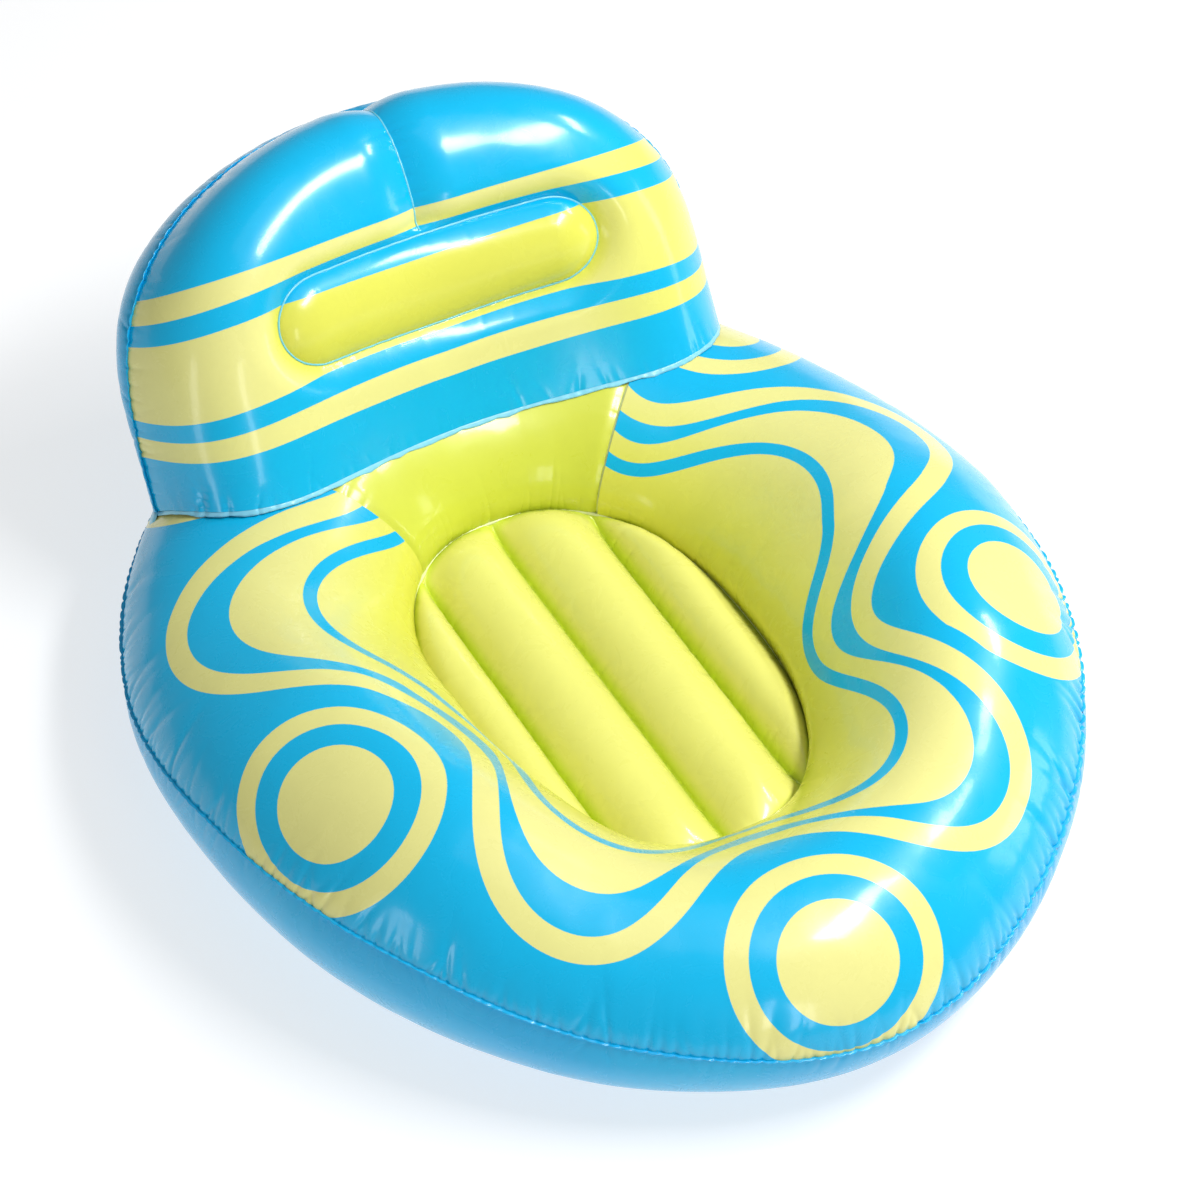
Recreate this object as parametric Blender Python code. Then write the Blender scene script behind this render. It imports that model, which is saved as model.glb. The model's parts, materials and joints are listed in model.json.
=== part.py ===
import bpy
import math
import numpy as np
from mathutils import Matrix, Vector

for _old in list(bpy.data.objects):
    bpy.data.objects.remove(_old, do_unlink=True)

# ---------------------------------------------------------------- dimensions (metres)
FILM = 0.0006            # film thickness
GAP = 0.0003             # clear gap between neighbouring pieces
PITCH = FILM + GAP       # step between stacked weld layers
WELD = 0.010             # width of the outer weld flange

# ring, seen from above: polar radius of the outer weld, half height and weld angle,
# at seven stations from the front (0) to the rear (6)
RING_RADIUS = (0.577, 0.548, 0.537, 0.550, 0.599, 0.649, 0.655)
RING_HALF_H = (0.129, 0.128, 0.149, 0.142, 0.116, 0.121, 0.121)
RING_WELD_A = (0.09, 0.26, 0.35, 0.30, 0.12, 0.05, 0.03)
RING_WIDTH = 0.485        # half width of the tube as a share of outer weld to floor outline
RING_POWER = 1.85        # roundness of the tube section
RING_FLAT = 1.06         # flattens the underside where it rests
RING_SEGS = 60
RING_ROWS_TOP = 9
RING_ROWS_LOW = 10

# seat floor outline and levels
FLOOR_A = 0.200
FLOOR_B = 0.294
FLOOR_CY = 0.048
FLOOR_POWER = 2.3
FLOOR_EDGE_Z = 0.097     # level of the inner weld
FLOOR_TOP_CREST = 0.110
FLOOR_TOP_VALLEY = 0.080
FLOOR_LOW_CREST = 0.028
FLOOR_LOW_VALLEY = 0.056
FLOOR_WEBS = (-0.12, 0.0, 0.12)

# lime rear inner wall of the ring
REAR_WALL_FROM = math.radians(54.5)
REAR_WALL_TO = math.radians(125.5)
REAR_WALL_TOP = math.radians(104.0)

# backrest
BACK_HALF_W = 0.392
BACK_BASE_Z = 0.200
BACK_RISE = 0.272
BACK_POWER = 3.5
BACK_MID = (0.598, 0.824, -1.254)
BACK_BEND = (0.814, 0.135)
BACK_FRONT_BULGE = 0.190
BACK_REAR_BULGE = (0.030, 0.052)
HEADREST = (0.3105, 0.243, 0.0335) # centre level, half length, half height on the mid surface
HEADREST_BOW = 0.225

# push-in valve
V_FLANGE_R = 0.0150
V_HOLE_R = 0.0078
V_BORE_R = 0.0063
V_NECK_R = 0.0072
V_STEM_R = 0.0059
V_STEM_BORE_R = 0.0038
V_TRAVEL = 0.0065

PLAN_SHIFT = 0.100        # the plan is drawn from the ring's centre; the origin is under the middle of the whole chair


# ---------------------------------------------------------------- small helpers
def knots(values, s):
    """smooth curve through equally spaced values, level at both ends"""
    n = len(values) - 1
    x = min(max(s, 0.0), 1.0) * n
    i = min(int(x), n - 1)
    t = x - i

    def at(k):
        k = abs(k)
        return values[2 * n - k if k > n else k]
    p0, p1, p2, p3 = at(i - 1), at(i), at(i + 1), at(i + 2)
    return 0.5 * ((2 * p1) + (-p0 + p2) * t + (2 * p0 - 5 * p1 + 4 * p2 - p3) * t * t
                  + (-p0 + 3 * p1 - 3 * p2 + p3) * t ** 3)


def spow(v, e):
    return math.copysign(abs(v) ** e, v)


def smooth(t):
    t = min(max(t, 0.0), 1.0)
    return t * t * (3 - 2 * t)


def material(name, rgb, rough, metallic=0.0):
    m = bpy.data.materials.new(name)
    m.use_nodes = True
    b = m.node_tree.nodes["Principled BSDF"]
    b.inputs["Base Color"].default_value = (*rgb, 1.0)
    b.inputs["Roughness"].default_value = rough
    b.inputs["Metallic"].default_value = metallic
    return m


BLUE = (0.0024, 0.49, 0.85)
LIME = (0.80, 0.86, 0.10)
YELLOW = (0.87, 0.86, 0.20)
CLEAR = (0.75, 0.86, 0.92)
WHITE = (0.86, 0.88, 0.90)


def make_object(name, verts, faces, rgb, rough=0.25, place=None, parent=None):
    v = np.array([tuple(p) for p in verts], float)
    vol = 0.0
    for f in faces:
        for k in range(1, len(f) - 1):
            vol += float(np.dot(v[f[0]], np.cross(v[f[k]], v[f[k + 1]])))
    if vol < 0:
        faces = [tuple(reversed(f)) for f in faces]
    me = bpy.data.meshes.new(name)
    me.from_pydata([tuple(p) for p in v], [], [tuple(f) for f in faces])
    me.validate()
    me.update()
    ob = bpy.data.objects.new(name, me)
    bpy.context.scene.collection.objects.link(ob)
    ob.data.materials.append(material(name + "_film", rgb, rough))
    for p in me.polygons:
        p.use_smooth = True
    me.set_sharp_from_angle(angle=math.radians(38))
    if parent is not None:
        ob.parent = parent
    if place is not None:
        ob.matrix_basis = place if parent is None else parent.matrix_basis.inverted() @ place
    return ob


def film(name, verts, faces, rgb, thick=FILM, rough=0.22):
    """closes an open sheet into a thin solid, half the thickness to each side"""
    v = np.array([tuple(p) for p in verts], float)
    used = sorted({i for f in faces for i in f})
    remap = {o: k for k, o in enumerate(used)}
    v = v[used]
    # a twisted four-sided face is split the same way in both layers, so the film stays evenly thick
    split = []
    for f in faces:
        f = tuple(remap[i] for i in f)
        if len(f) == 4:
            a, b, c, d = (v[i] for i in f)
            n = np.cross(c - a, d - b)
            if abs(float((b - a) @ n)) > 2e-6 * float(np.linalg.norm(n)):
                if np.linalg.norm(c - a) <= np.linalg.norm(d - b):
                    split += [(f[0], f[1], f[2]), (f[0], f[2], f[3])]
                else:
                    split += [(f[1], f[2], f[3]), (f[1], f[3], f[0])]
                continue
        split.append(f)
    faces = split
    nrm = np.zeros_like(v)
    fn = []
    for f in faces:
        a = v[f[2]] - v[f[0]]
        b = (v[f[3]] - v[f[1]]) if len(f) == 4 else (v[f[2]] - v[f[1]])
        if len(f) == 3:
            a = v[f[1]] - v[f[0]]
        n = np.cross(a, b)
        n = n / (np.linalg.norm(n) + 1e-20)
        fn.append(n)
        for i in f:
            nrm[i] += n
    nrm /= np.linalg.norm(nrm, axis=1)[:, None] + 1e-20
    least = np.ones(len(v))
    for f, n in zip(faces, fn):
        for i in f:
            least[i] = min(least[i], float(nrm[i] @ n))
    step = nrm * (thick / 2 / np.maximum(least, 0.6))[:, None]
    count = len(v)
    allv = np.concatenate([v + step, v - step])
    edges = {}
    for f in faces:
        for k in range(len(f)):
            e = (f[k], f[(k + 1) % len(f)])
            edges[e] = edges.get(e, 0) + 1
    out = [tuple(f) for f in faces] + [tuple(i + count for i in reversed(f)) for f in faces]
    for (a, b) in edges:
        if (b, a) not in edges:
            out.append((b, a, a + count, b + count))
    return make_object(name, allv, out, rgb, rough)


def cut_hole(verts, faces, cell, radius, sides=16):
    """swaps one four-sided face for a face ring around a round hole; returns its frame"""
    f = faces[cell]
    p = [np.array(verts[i], float) for i in f]
    centre = sum(p) / 4
    n = np.cross(p[2] - p[0], p[3] - p[1])
    n /= np.linalg.norm(n)
    ex = (p[1] - p[0]) - n * float((p[1] - p[0]) @ n)
    ex /= np.linalg.norm(ex)
    ey = np.cross(n, ex)
    flat = [(float((q - centre) @ ex), float((q - centre) @ ey)) for q in p]
    base = len(verts)
    for k in range(sides):
        a = 2 * math.pi * k / sides
        verts.append(tuple(centre + ex * radius * math.cos(a) + ey * radius * math.sin(a)))
    # each corner takes the stretch of the circle that faces it, in angle
    turn = [math.atan2(y, x) for x, y in flat]
    near = []
    for k in range(sides):
        am = 2 * math.pi * (k + 0.5) / sides
        d = [abs((am - t + math.pi) % (2 * math.pi) - math.pi) for t in turn]
        near.append(d.index(min(d)))
    new = []
    for k in range(sides):
        a, b = base + k, base + (k + 1) % sides
        new.append((f[near[k]], b, a))
        nk = near[(k + 1) % sides]
        if nk != near[k]:
            new.append((f[near[k]], f[nk], b))
    faces[cell] = new[0]
    faces.extend(new[1:])
    m = Matrix(((ex[0], ey[0], n[0], centre[0]), (ex[1], ey[1], n[1], centre[1]),
                (ex[2], ey[2], n[2], centre[2]), (0, 0, 0, 1)))
    return m


# ---------------------------------------------------------------- ring shape
def ring_station(theta):
    """plan geometry of the tube at one angle: outer weld point, direction, width, height"""
    s = abs(((theta + math.pi / 2 + math.pi) % (2 * math.pi)) - math.pi) / math.pi
    r, h, wa = knots(RING_RADIUS, s), knots(RING_HALF_H, s), knots(RING_WELD_A, s)
    p = np.array([r * math.cos(theta), r * math.sin(theta)])
    e = 2 / FLOOR_POWER
    q = np.array([FLOOR_A * spow(math.cos(theta), e), FLOOR_B * spow(math.sin(theta), e) + FLOOR_CY])
    d = p - q
    length = float(np.linalg.norm(d))
    u = d / length
    w = RING_WIDTH * length
    return p, q, u, w, h, wa


def ring_point(st, phi):
    p, q, u, w, h, wa = st
    c, s = math.cos(phi), math.sin(phi)
    a, b = spow(c, 2 / RING_POWER), spow(s, 2 / RING_POWER)
    if b < 0:
        b = -min(1.0, -b * RING_FLAT)
    xy = p - u * w + u * w * a
    return np.array([xy[0], xy[1], h + h * b])


def inner_phi(st):
    h = st[4]
    b = (h - FLOOR_EDGE_Z) / h / RING_FLAT
    return math.pi + math.asin(min(0.9, b ** (RING_POWER / 2)))


def ring_top_z(x, y):
    """height of the ring's upper surface at a plan point over the tube"""
    def side(t):
        st = ring_station(t)
        d = np.array([x, y]) - st[1]
        return st[2][0] * d[1] - st[2][1] * d[0], st, d
    mid = math.atan2(y, x)
    lo, hi = mid - 0.6, mid + 0.6
    flo = side(lo)[0]
    for _ in range(40):
        m = (lo + hi) / 2
        f, st, d = side(m)
        if (f > 0) == (flo > 0):
            lo, flo = m, f
        else:
            hi = m
    f, st, d = side((lo + hi) / 2)
    p, q, u, w, h, wa = st
    along = float((np.array([x, y]) - (p - u * w)) @ u) / w
    return h + h * max(0.0, 1 - min(1.0, abs(along)) ** RING_POWER) ** (1 / RING_POWER)


def grid_faces(nu, nv, wrap, keep=None):
    out = []
    for i in range(nu if wrap else nu - 1):
        k = (i + 1) % nu
        for j in range(nv - 1):
            if keep is None or keep(i, j):
                out.append((i * nv + j, k * nv + j, k * nv + j + 1, i * nv + j + 1))
    return out


def thetas(edge):
    """ring stations with exact lines at the ends of the lime rear wall, moved out by edge"""
    a, b = REAR_WALL_FROM - edge, REAR_WALL_TO + edge
    rear = 12
    rest = RING_SEGS - rear
    t = [a + (b - a) * k / rear for k in range(rear)]
    t += [b + (2 * math.pi - (b - a)) * k / rest for k in range(rest)]
    return t, rear


def weld_fold(st, sign):
    p, q, u, w, h, wa = st
    s = ring_point(st, wa)
    z = s[2] + sign * PITCH / 2
    return [np.array([*(s[:2] + u * WELD), z]), np.array([*(s[:2] + u * 0.0015), z])]


def inner_fold(st, layer, phi):
    p, q, u, w, h, wa = st
    s = ring_point(st, phi)
    z = FLOOR_EDGE_Z + layer * PITCH
    return [np.array([*(s[:2] - u * 0.0015), z]), np.array([*(q + u * 0.001), z])]


def ring_top_panel():
    ts, rear = thetas(0.0006)
    verts, rows = [], 0
    for t in ts:
        st = ring_station(t)
        f0, f1 = st[5], inner_phi(st)
        cut = REAR_WALL_TOP - 0.002
        low = [f0 + (cut - f0) * k / 5 for k in range(1, 6)]
        high = [cut + (f1 - cut) * k / 4 for k in range(1, 4)]
        line = weld_fold(st, 1) + [ring_point(st, f) for f in low + high] + inner_fold(st, 1, f1)
        rows = len(line)
        verts += line
    faces = grid_faces(len(ts), rows, True, lambda i, j: not (i < rear and j >= 6))
    return film("ring_top_panel", verts, faces, BLUE)


def ring_rear_inner_panel():
    a, b = REAR_WALL_FROM, REAR_WALL_TO
    verts, rows = [], 0
    n = 12
    for k in range(n + 1):
        st = ring_station(a + (b - a) * k / n)
        f1 = inner_phi(st)
        fs = [REAR_WALL_TOP + 0.002 + (f1 - REAR_WALL_TOP - 0.002) * j / 5 for j in range(5)]
        line = [ring_point(st, f) for f in fs] + inner_fold(st, 1, f1)
        rows = len(line)
        verts += line
    return film("ring_rear_inner_panel", verts, grid_faces(n + 1, rows, False), LIME)


def ring_bottom_panel():
    ts, rear = thetas(0.0)
    verts, rows = [], 0
    for t in ts:
        st = ring_station(t)
        f0, f1 = st[5] + 2 * math.pi, inner_phi(st)
        # even steps to the resting strip, then a flat strip, then up to the outer weld
        a, b = 1.5 * math.pi - 0.26, 1.5 * math.pi + 0.26
        fs = [f1 + (a - f1) * k / 3 for k in range(1, 3)] + [a, 1.5 * math.pi, b]
        fs += [b + (f0 - b) * k / 5 for k in range(1, 5)]
        line = list(reversed(inner_fold(st, 0, f1))) + [ring_point(st, f) for f in fs]
        line += list(reversed(weld_fold(st, -1)))
        for q in line:
            q[2] = max(q[2], FILM / 2)
        rows = len(line)
        verts += line
    faces = grid_faces(len(ts), rows, True)
    # the ring valve's hole, low on the outer wall behind the right arm
    i = 2
    cell = i * (rows - 1) + 7
    frame = cut_hole(verts, faces, cell, V_HOLE_R)
    # the resting strip is kept exactly level after the film is given its thickness
    ob = film("ring_bottom_panel", verts, faces, BLUE)
    for v in ob.data.vertices:
        if v.co.z < 0.00012:
            v.co.z = 0.0
    return ob, frame


# ---------------------------------------------------------------- seat floor
def outline_y(x, grow):
    a, b = FLOOR_A + grow, FLOOR_B + grow
    return b * max(0.0, 1 - min(1.0, abs(x) / a) ** FLOOR_POWER) ** (1 / FLOOR_POWER)


def floor_level(x, y, edge, valley, crest):
    """height of a floor sheet: four lengthwise channels that run out at the outline"""
    bounds = (-FLOOR_A,) + FLOOR_WEBS + (FLOOR_A,)
    z = edge
    for k in range(4):
        if bounds[k] <= x <= bounds[k + 1]:
            c, hw = (bounds[k] + bounds[k + 1]) / 2, (bounds[k + 1] - bounds[k]) / 2
            s = (x - c) / hw
            lo, hi = (edge if k == 0 else valley), (edge if k == 3 else valley)
            base = lo + (hi - lo) * (s + 1) / 2
            z = base + (crest - base) * max(0.0, 1 - s * s) ** 0.6
    d = min(outline_y(x, 0) - abs(y - FLOOR_CY), FLOOR_A - abs(x))
    return edge + (z - edge) * smooth(d / 0.045) ** 0.75


def floor_sheet(name, layer, valley, crest, flip, rgb):
    edge = FLOOR_EDGE_Z + layer * PITCH
    lim = 0.985 * FLOOR_A
    inner = [-0.182, -0.172, -0.158, -0.140, -0.127, -0.12, -0.113, -0.098, -0.079, -0.060,
             -0.041, -0.022, -0.007]
    cols = [-(lim + 0.008), -(lim - 0.009)] + inner + [0.0] + [-x for x in reversed(inner)]
    cols += [lim - 0.009, lim + 0.008]
    if not flip:
        cols = [-x for x in cols]
    verts = []
    fr = (1.0, 0.88, 0.72, 0.45, 0.15)
    fr = list(fr) + [-f for f in reversed(fr)]
    for ci, x in enumerate(cols):
        yo, yi = outline_y(x, 0.008), outline_y(x, -0.010)
        if ci in (0, len(cols) - 1):
            yo, yi = outline_y(lim, 0.0) * 0.95, outline_y(lim, 0.0) * 0.90
        elif ci in (1, len(cols) - 2):
            yi = outline_y(lim, 0.0) * 0.92
        ys = [FLOOR_CY - yo] + [FLOOR_CY - yi * f for f in fr] + [FLOOR_CY + yo]
        for j, y in enumerate(ys):
            rim = ci < 2 or ci > len(cols) - 3 or j < 2 or j > len(ys) - 3
            z = edge if rim else floor_level(x, y, edge, valley, crest)
            verts.append(np.array([x, y, z]))
    rows = len(fr) + 2
    faces = grid_faces(len(cols), rows, False)
    faces = [tuple(reversed(f)) for f in faces]
    frame = None
    if flip:
        # valve hole at the rear of the channel right of the centre, on its crest
        cell = 18 * (rows - 1) + 8
        frame = cut_hole(verts, faces, cell, V_HOLE_R)
    return film(name, verts, faces, rgb), frame


def floor_web(name, x):
    lo = FLOOR_LOW_VALLEY + PITCH + 0.0016
    hi = FLOOR_TOP_VALLEY - PITCH - 0.0006
    half = outline_y(x, 0) - 0.062
    n = 8
    verts, faces = [], []
    for k in range(n + 1):
        y = FLOOR_CY - half + 2 * half * k / n
        verts += [np.array([x, y, lo]), np.array([x, y, hi])]
    faces = grid_faces(n + 1, 2, False)
    return film(name, verts, faces, CLEAR)


# ---------------------------------------------------------------- backrest
def back_mid(x, z):
    h = z - BACK_BASE_Z
    k = BACK_BEND[0] + BACK_BEND[1] * min(max(h / BACK_RISE, 0), 1)
    return np.array([x, BACK_MID[0] + BACK_MID[1] * h + BACK_MID[2] * h * h - k * x * x, z])


def back_rho(x, z):
    n = BACK_POWER
    return (abs(x / BACK_HALF_W) ** n + abs((z - BACK_BASE_Z) / BACK_RISE) ** n) ** (1 / n)


def back_front(x, z, inset=0.0):
    t = (z - BACK_BASE_Z) / BACK_RISE
    rho = min(1.0, back_rho(x, z))
    b = BACK_FRONT_BULGE * (1 - rho ** 5) ** 0.5 - inset
    phi = math.radians(-3 + 60 * t)
    d = np.array([-0.25 * x / BACK_HALF_W, -math.cos(phi), math.sin(phi)])
    return back_mid(x, z) + d / np.linalg.norm(d) * b


def back_rear(x, z, inset=0.0):
    t = (z - BACK_BASE_Z) / BACK_RISE
    rho = min(1.0, back_rho(x, z))
    b = (BACK_REAR_BULGE[0] + BACK_REAR_BULGE[1] * smooth(t / 0.45)) * (1 - rho ** 5) ** 0.5 - inset
    d = np.array([0.2 * x / BACK_HALF_W, 1.0, 0.0])
    return back_mid(x, z) + d / np.linalg.norm(d) * b


def back_panel(name, shape, side, rgb):
    nu, nv = 28, 13
    verts = []
    out = {}
    for i in range(nu + 1):
        a = -1 + 2 * i / nu
        a = 0.45 * a + 0.55 * math.sin(a * math.pi / 2)
        for j in range(nv + 1):
            b = j / nv
            px, pz = a * math.sqrt(1 - b * b / 2), b * math.sqrt(1 - a * a / 2)
            rho = math.hypot(px, pz)
            psi = math.atan2(pz, px)
            n = BACK_POWER
            r = (abs(math.cos(psi)) ** n + abs(math.sin(psi)) ** n) ** (-1 / n)
            x = BACK_HALF_W * rho * r * math.cos(psi)
            z = BACK_BASE_Z + BACK_RISE * rho * r * math.sin(psi)
            q = shape(x, z)
            foot = shape(x, BACK_BASE_Z)
            drop = ring_top_z(foot[0], foot[1]) + 0.0030 + 0.0070 * a ** 4 - foot[2]
            q[2] += drop * (1 - b) ** 3
            if 0 < j < 7:
                q[2] = max(q[2], ring_top_z(q[0], q[1]) + 0.005)
            # the two sheets stand a film gap apart where they meet in the edge weld
            e = 1e-4
            fx = (back_mid(x + e, z)[1] - back_mid(x - e, z)[1]) / (2 * e)
            fz = (back_mid(x, z + e)[1] - back_mid(x, z - e)[1]) / (2 * e)
            nm = np.array([-fx, 1.0, -fz])
            q = q + nm / np.linalg.norm(nm) * side * PITCH * 0.7
            verts.append(q)
            if i in (0, nu) or j == nv:
                dx, dz = x, z - BACK_BASE_Z - 0.45 * BACK_RISE
                if j == 0:
                    dz = 0.05
                d = np.array([dx, fx * dx + fz * dz, dz])
                out[(i, j)] = d / np.linalg.norm(d)
    faces = grid_faces(nu + 1, nv + 1, False)
    # weld flange around the sides and top
    path = [(0, j) for j in range(0, nv + 1)] + [(i, nv) for i in range(1, nu + 1)]
    path += [(nu, j) for j in range(nv - 1, -1, -1)]
    base = len(verts)
    for (i, j) in path:
        v = verts[i * (nv + 1) + j]
        verts.append(v + out[(i, j)] * 0.009)
    for k in range(len(path) - 1):
        a = path[k][0] * (nv + 1) + path[k][1]
        b = path[k + 1][0] * (nv + 1) + path[k + 1][1]
        faces.append((a, b, base + k + 1, base + k))
    if side > 0:
        faces = [tuple(reversed(f)) for f in faces]
    frame = None
    if side > 0:
        # valve hole high on the right side, clear of the headrest's inner film
        cell = 22 * nv + 6
        frame = cut_hole(verts, faces, cell, V_HOLE_R)
    return film(name, verts, faces, rgb), frame


def headrest_web():
    zc, hl, hh = HEADREST
    n, m = 40, 4
    verts = []
    for k in range(n):
        t = 2 * math.pi * k / n
        x = hl * spow(math.cos(t), 2 / 3.2)
        z = zc + hh * spow(math.sin(t), 2 / 2.2) + HEADREST_BOW * x * x
        f, r = back_front(x, z, 0.006), back_rear(x, z, 0.006)
        for j in range(m + 1):
            verts.append(f + (r - f) * j / m)
    return film("headrest_web", verts, grid_faces(n, m + 1, True), CLEAR)


def backrest_centre_web():
    z0, z1 = HEADREST[0] + HEADREST[2] + 0.010, BACK_BASE_Z + 0.86 * BACK_RISE
    n, m = 5, 4
    verts = []
    for k in range(n + 1):
        z = z0 + (z1 - z0) * k / n
        f, r = back_front(0.0, z, 0.009), back_rear(0.0, z, 0.009)
        for j in range(m + 1):
            verts.append(f + (r - f) * j / m)
    return film("backrest_centre_web", verts, grid_faces(n + 1, m + 1, False), CLEAR)


# ---------------------------------------------------------------- valves
def turned(name, rows, angles, rgb, place, parent=None, loop=True, rough=0.3):
    """solid of rings; each row is (radius or radius by angle, level)"""
    verts, faces = [], []
    n = len(angles)
    first, last = 0, len(rows)
    for r, z in rows:
        for a in angles:
            rr = r(a) if callable(r) else r
            verts.append((rr * math.cos(a), rr * math.sin(a), z))
    for k in range(len(rows) if loop else len(rows) - 1):
        k2 = (k + 1) % len(rows)
        for i in range(n):
            i2 = (i + 1) % n
            faces.append((k * n + i, k * n + i2, k2 * n + i2, k2 * n + i))
    if not loop:
        for k, flip in ((0, True), (len(rows) - 1, False)):
            centre = len(verts)
            verts.append((0.0, 0.0, rows[k][1]))
            for i in range(n):
                i2 = (i + 1) % n
                f = (centre, k * n + i2, k * n + i) if flip else (centre, k * n + i, k * n + i2)
                faces.append(f)
    return make_object(name, verts, faces, rgb, rough, place, parent)


def ring_angles(n, tab=None):
    """evenly spaced angles; with a tab, two lines stand close to its centre line"""
    out = []
    for k in range(n):
        a = 2 * math.pi * k / n
        if tab is None or abs(a - math.pi) > 2 * math.pi / n * 0.9:
            out.append(a)
    if tab is not None:
        w0, w1 = tab
        out = [a for a in out if abs(a - math.pi) > w1 + 0.02]
        out += [math.pi - w1, math.pi - w0, math.pi + w0, math.pi + w1]
        out.sort()
    return out


def tabbed(radius, reach, w0):
    def r(a):
        return reach / math.cos(a - math.pi) if abs(a - math.pi) <= w0 + 1e-6 else radius
    return r


def valve(prefix, frame):
    """frame: Z out of the film, origin on the film's mid surface"""
    lift = FILM / 2 + GAP
    even = ring_angles(18)
    flange = turned(prefix + "_valve_flange", [
        (V_FLANGE_R, lift), (V_FLANGE_R, lift + 0.0008), (0.0090, lift + 0.0010),
        (0.0086, 0.0020), (V_BORE_R, 0.0020), (V_BORE_R, -0.0030), (V_NECK_R, -0.0030),
        (V_NECK_R, lift)], even, CLEAR, frame)
    # the stem slides along Z; its own origin is on the slide axis
    w_lug = math.asin(0.0020 / 0.0097)
    ang = ring_angles(18, (w_lug, w_lug + 0.06))
    lug = tabbed(0.0074, 0.0097, w_lug)
    stem = turned(prefix + "_valve_stem", [
        (lug, 0.0102), (lug, 0.0090), (V_STEM_R, 0.0088), (V_STEM_R, -0.0100),
        (V_STEM_BORE_R, -0.0100), (V_STEM_BORE_R, 0.0102)], ang, CLEAR, frame)
    # the stopper swings about an axis along Y, at the end of its tether
    hx, hz = -0.0099, 0.01035
    w_arm = math.asin(0.0016 / 0.0099)
    ang = ring_angles(18, (w_arm, w_arm + 0.10))
    arm = tabbed(0.0052, 0.0099, w_arm)
    rows = [(0.0025, 0.0050), (0.0033, 0.0105), (arm, 0.0105), (arm, 0.0117)]
    rows = [(r, z) for r, z in rows]
    plug = turned(prefix + "_valve_plug", rows, ang, WHITE, frame, loop=False)
    shift_origin(plug, frame, (hx, 0.0, hz))
    plug.parent = stem
    plug.matrix_basis = stem.matrix_basis.inverted() @ plug.matrix_basis
    # the check flap hangs below the stem and opens into the chamber
    fx, fz = -0.0052, -0.01065
    w_f = math.asin(0.0012 / 0.0052)
    ang = ring_angles(18, (w_f, w_f + 0.10))
    tab = tabbed(0.0046, 0.0052, w_f)
    flap = turned(prefix + "_valve_flap", [(tab, -0.0109), (tab, -0.0104)], ang, CLEAR, frame,
                  loop=False)
    shift_origin(flap, frame, (fx, 0.0, fz))
    flap.parent = stem
    flap.matrix_basis = stem.matrix_basis.inverted() @ flap.matrix_basis
    return flange, stem, plug, flap


def shift_origin(ob, frame, local):
    d = Vector(local)
    for v in ob.data.vertices:
        v.co = v.co - d
    ob.matrix_basis = frame @ Matrix.Translation(d)


# ---------------------------------------------------------------- assembly
ring_top_panel()
ring_rear_inner_panel()
_, ring_frame = ring_bottom_panel()
floor_sheet("floor_top_panel", 4, FLOOR_TOP_VALLEY, FLOOR_TOP_CREST, False, LIME)
_, floor_frame = floor_sheet("floor_bottom_panel", 2, FLOOR_LOW_VALLEY, FLOOR_LOW_CREST, True, BLUE)
for web_name, web_x in zip(("floor_web_left", "floor_web_centre", "floor_web_right"), FLOOR_WEBS):
    floor_web(web_name, web_x)
back_panel("backrest_front_panel", back_front, -1, YELLOW)
_, back_frame = back_panel("backrest_rear_panel", back_rear, 1, BLUE)
headrest_web()
backrest_centre_web()
valve("ring", ring_frame)
valve("floor", floor_frame)
valve("backrest", back_frame)
for piece in bpy.context.scene.objects:
    if piece.parent is None:
        piece.location.y -= PLAN_SHIFT
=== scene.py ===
import json
import math

import bmesh
import bpy
import numpy as np
from mathutils import Matrix, Vector, kdtree


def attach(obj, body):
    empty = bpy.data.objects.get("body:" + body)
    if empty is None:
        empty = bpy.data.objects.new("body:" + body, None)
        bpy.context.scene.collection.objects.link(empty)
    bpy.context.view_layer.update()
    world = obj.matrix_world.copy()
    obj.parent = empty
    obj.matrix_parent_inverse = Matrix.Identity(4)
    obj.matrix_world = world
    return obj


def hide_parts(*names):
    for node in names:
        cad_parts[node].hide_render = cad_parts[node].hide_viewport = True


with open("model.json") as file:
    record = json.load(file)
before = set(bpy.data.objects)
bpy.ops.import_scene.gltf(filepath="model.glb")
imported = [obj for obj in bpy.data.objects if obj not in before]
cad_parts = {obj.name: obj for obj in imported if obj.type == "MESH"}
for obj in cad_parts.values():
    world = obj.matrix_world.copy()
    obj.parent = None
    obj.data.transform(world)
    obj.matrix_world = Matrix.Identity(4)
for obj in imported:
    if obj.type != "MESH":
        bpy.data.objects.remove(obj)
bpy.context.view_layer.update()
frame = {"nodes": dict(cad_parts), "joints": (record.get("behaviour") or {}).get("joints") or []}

pi = math.pi
PLAN_SHIFT = 0.100       # the shapes are drawn from the ring's centre and moved back by this much

# ================================================================= camera
AZ, EL, ROLL = math.radians(-34.13), math.radians(46.92), math.radians(5.02)
BACK = np.array([math.sin(AZ) * math.cos(EL), -math.cos(AZ) * math.cos(EL), math.sin(EL)])
_right = np.array([math.cos(AZ), math.sin(AZ), 0.0])
_up = np.cross(BACK, _right)
CAM_R = math.cos(ROLL) * _right + math.sin(ROLL) * _up
CAM_U = -math.sin(ROLL) * _right + math.cos(ROLL) * _up
CAM_P = np.array([0.0, -PLAN_SHIFT, 0.25]) + BACK * 4.0

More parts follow.
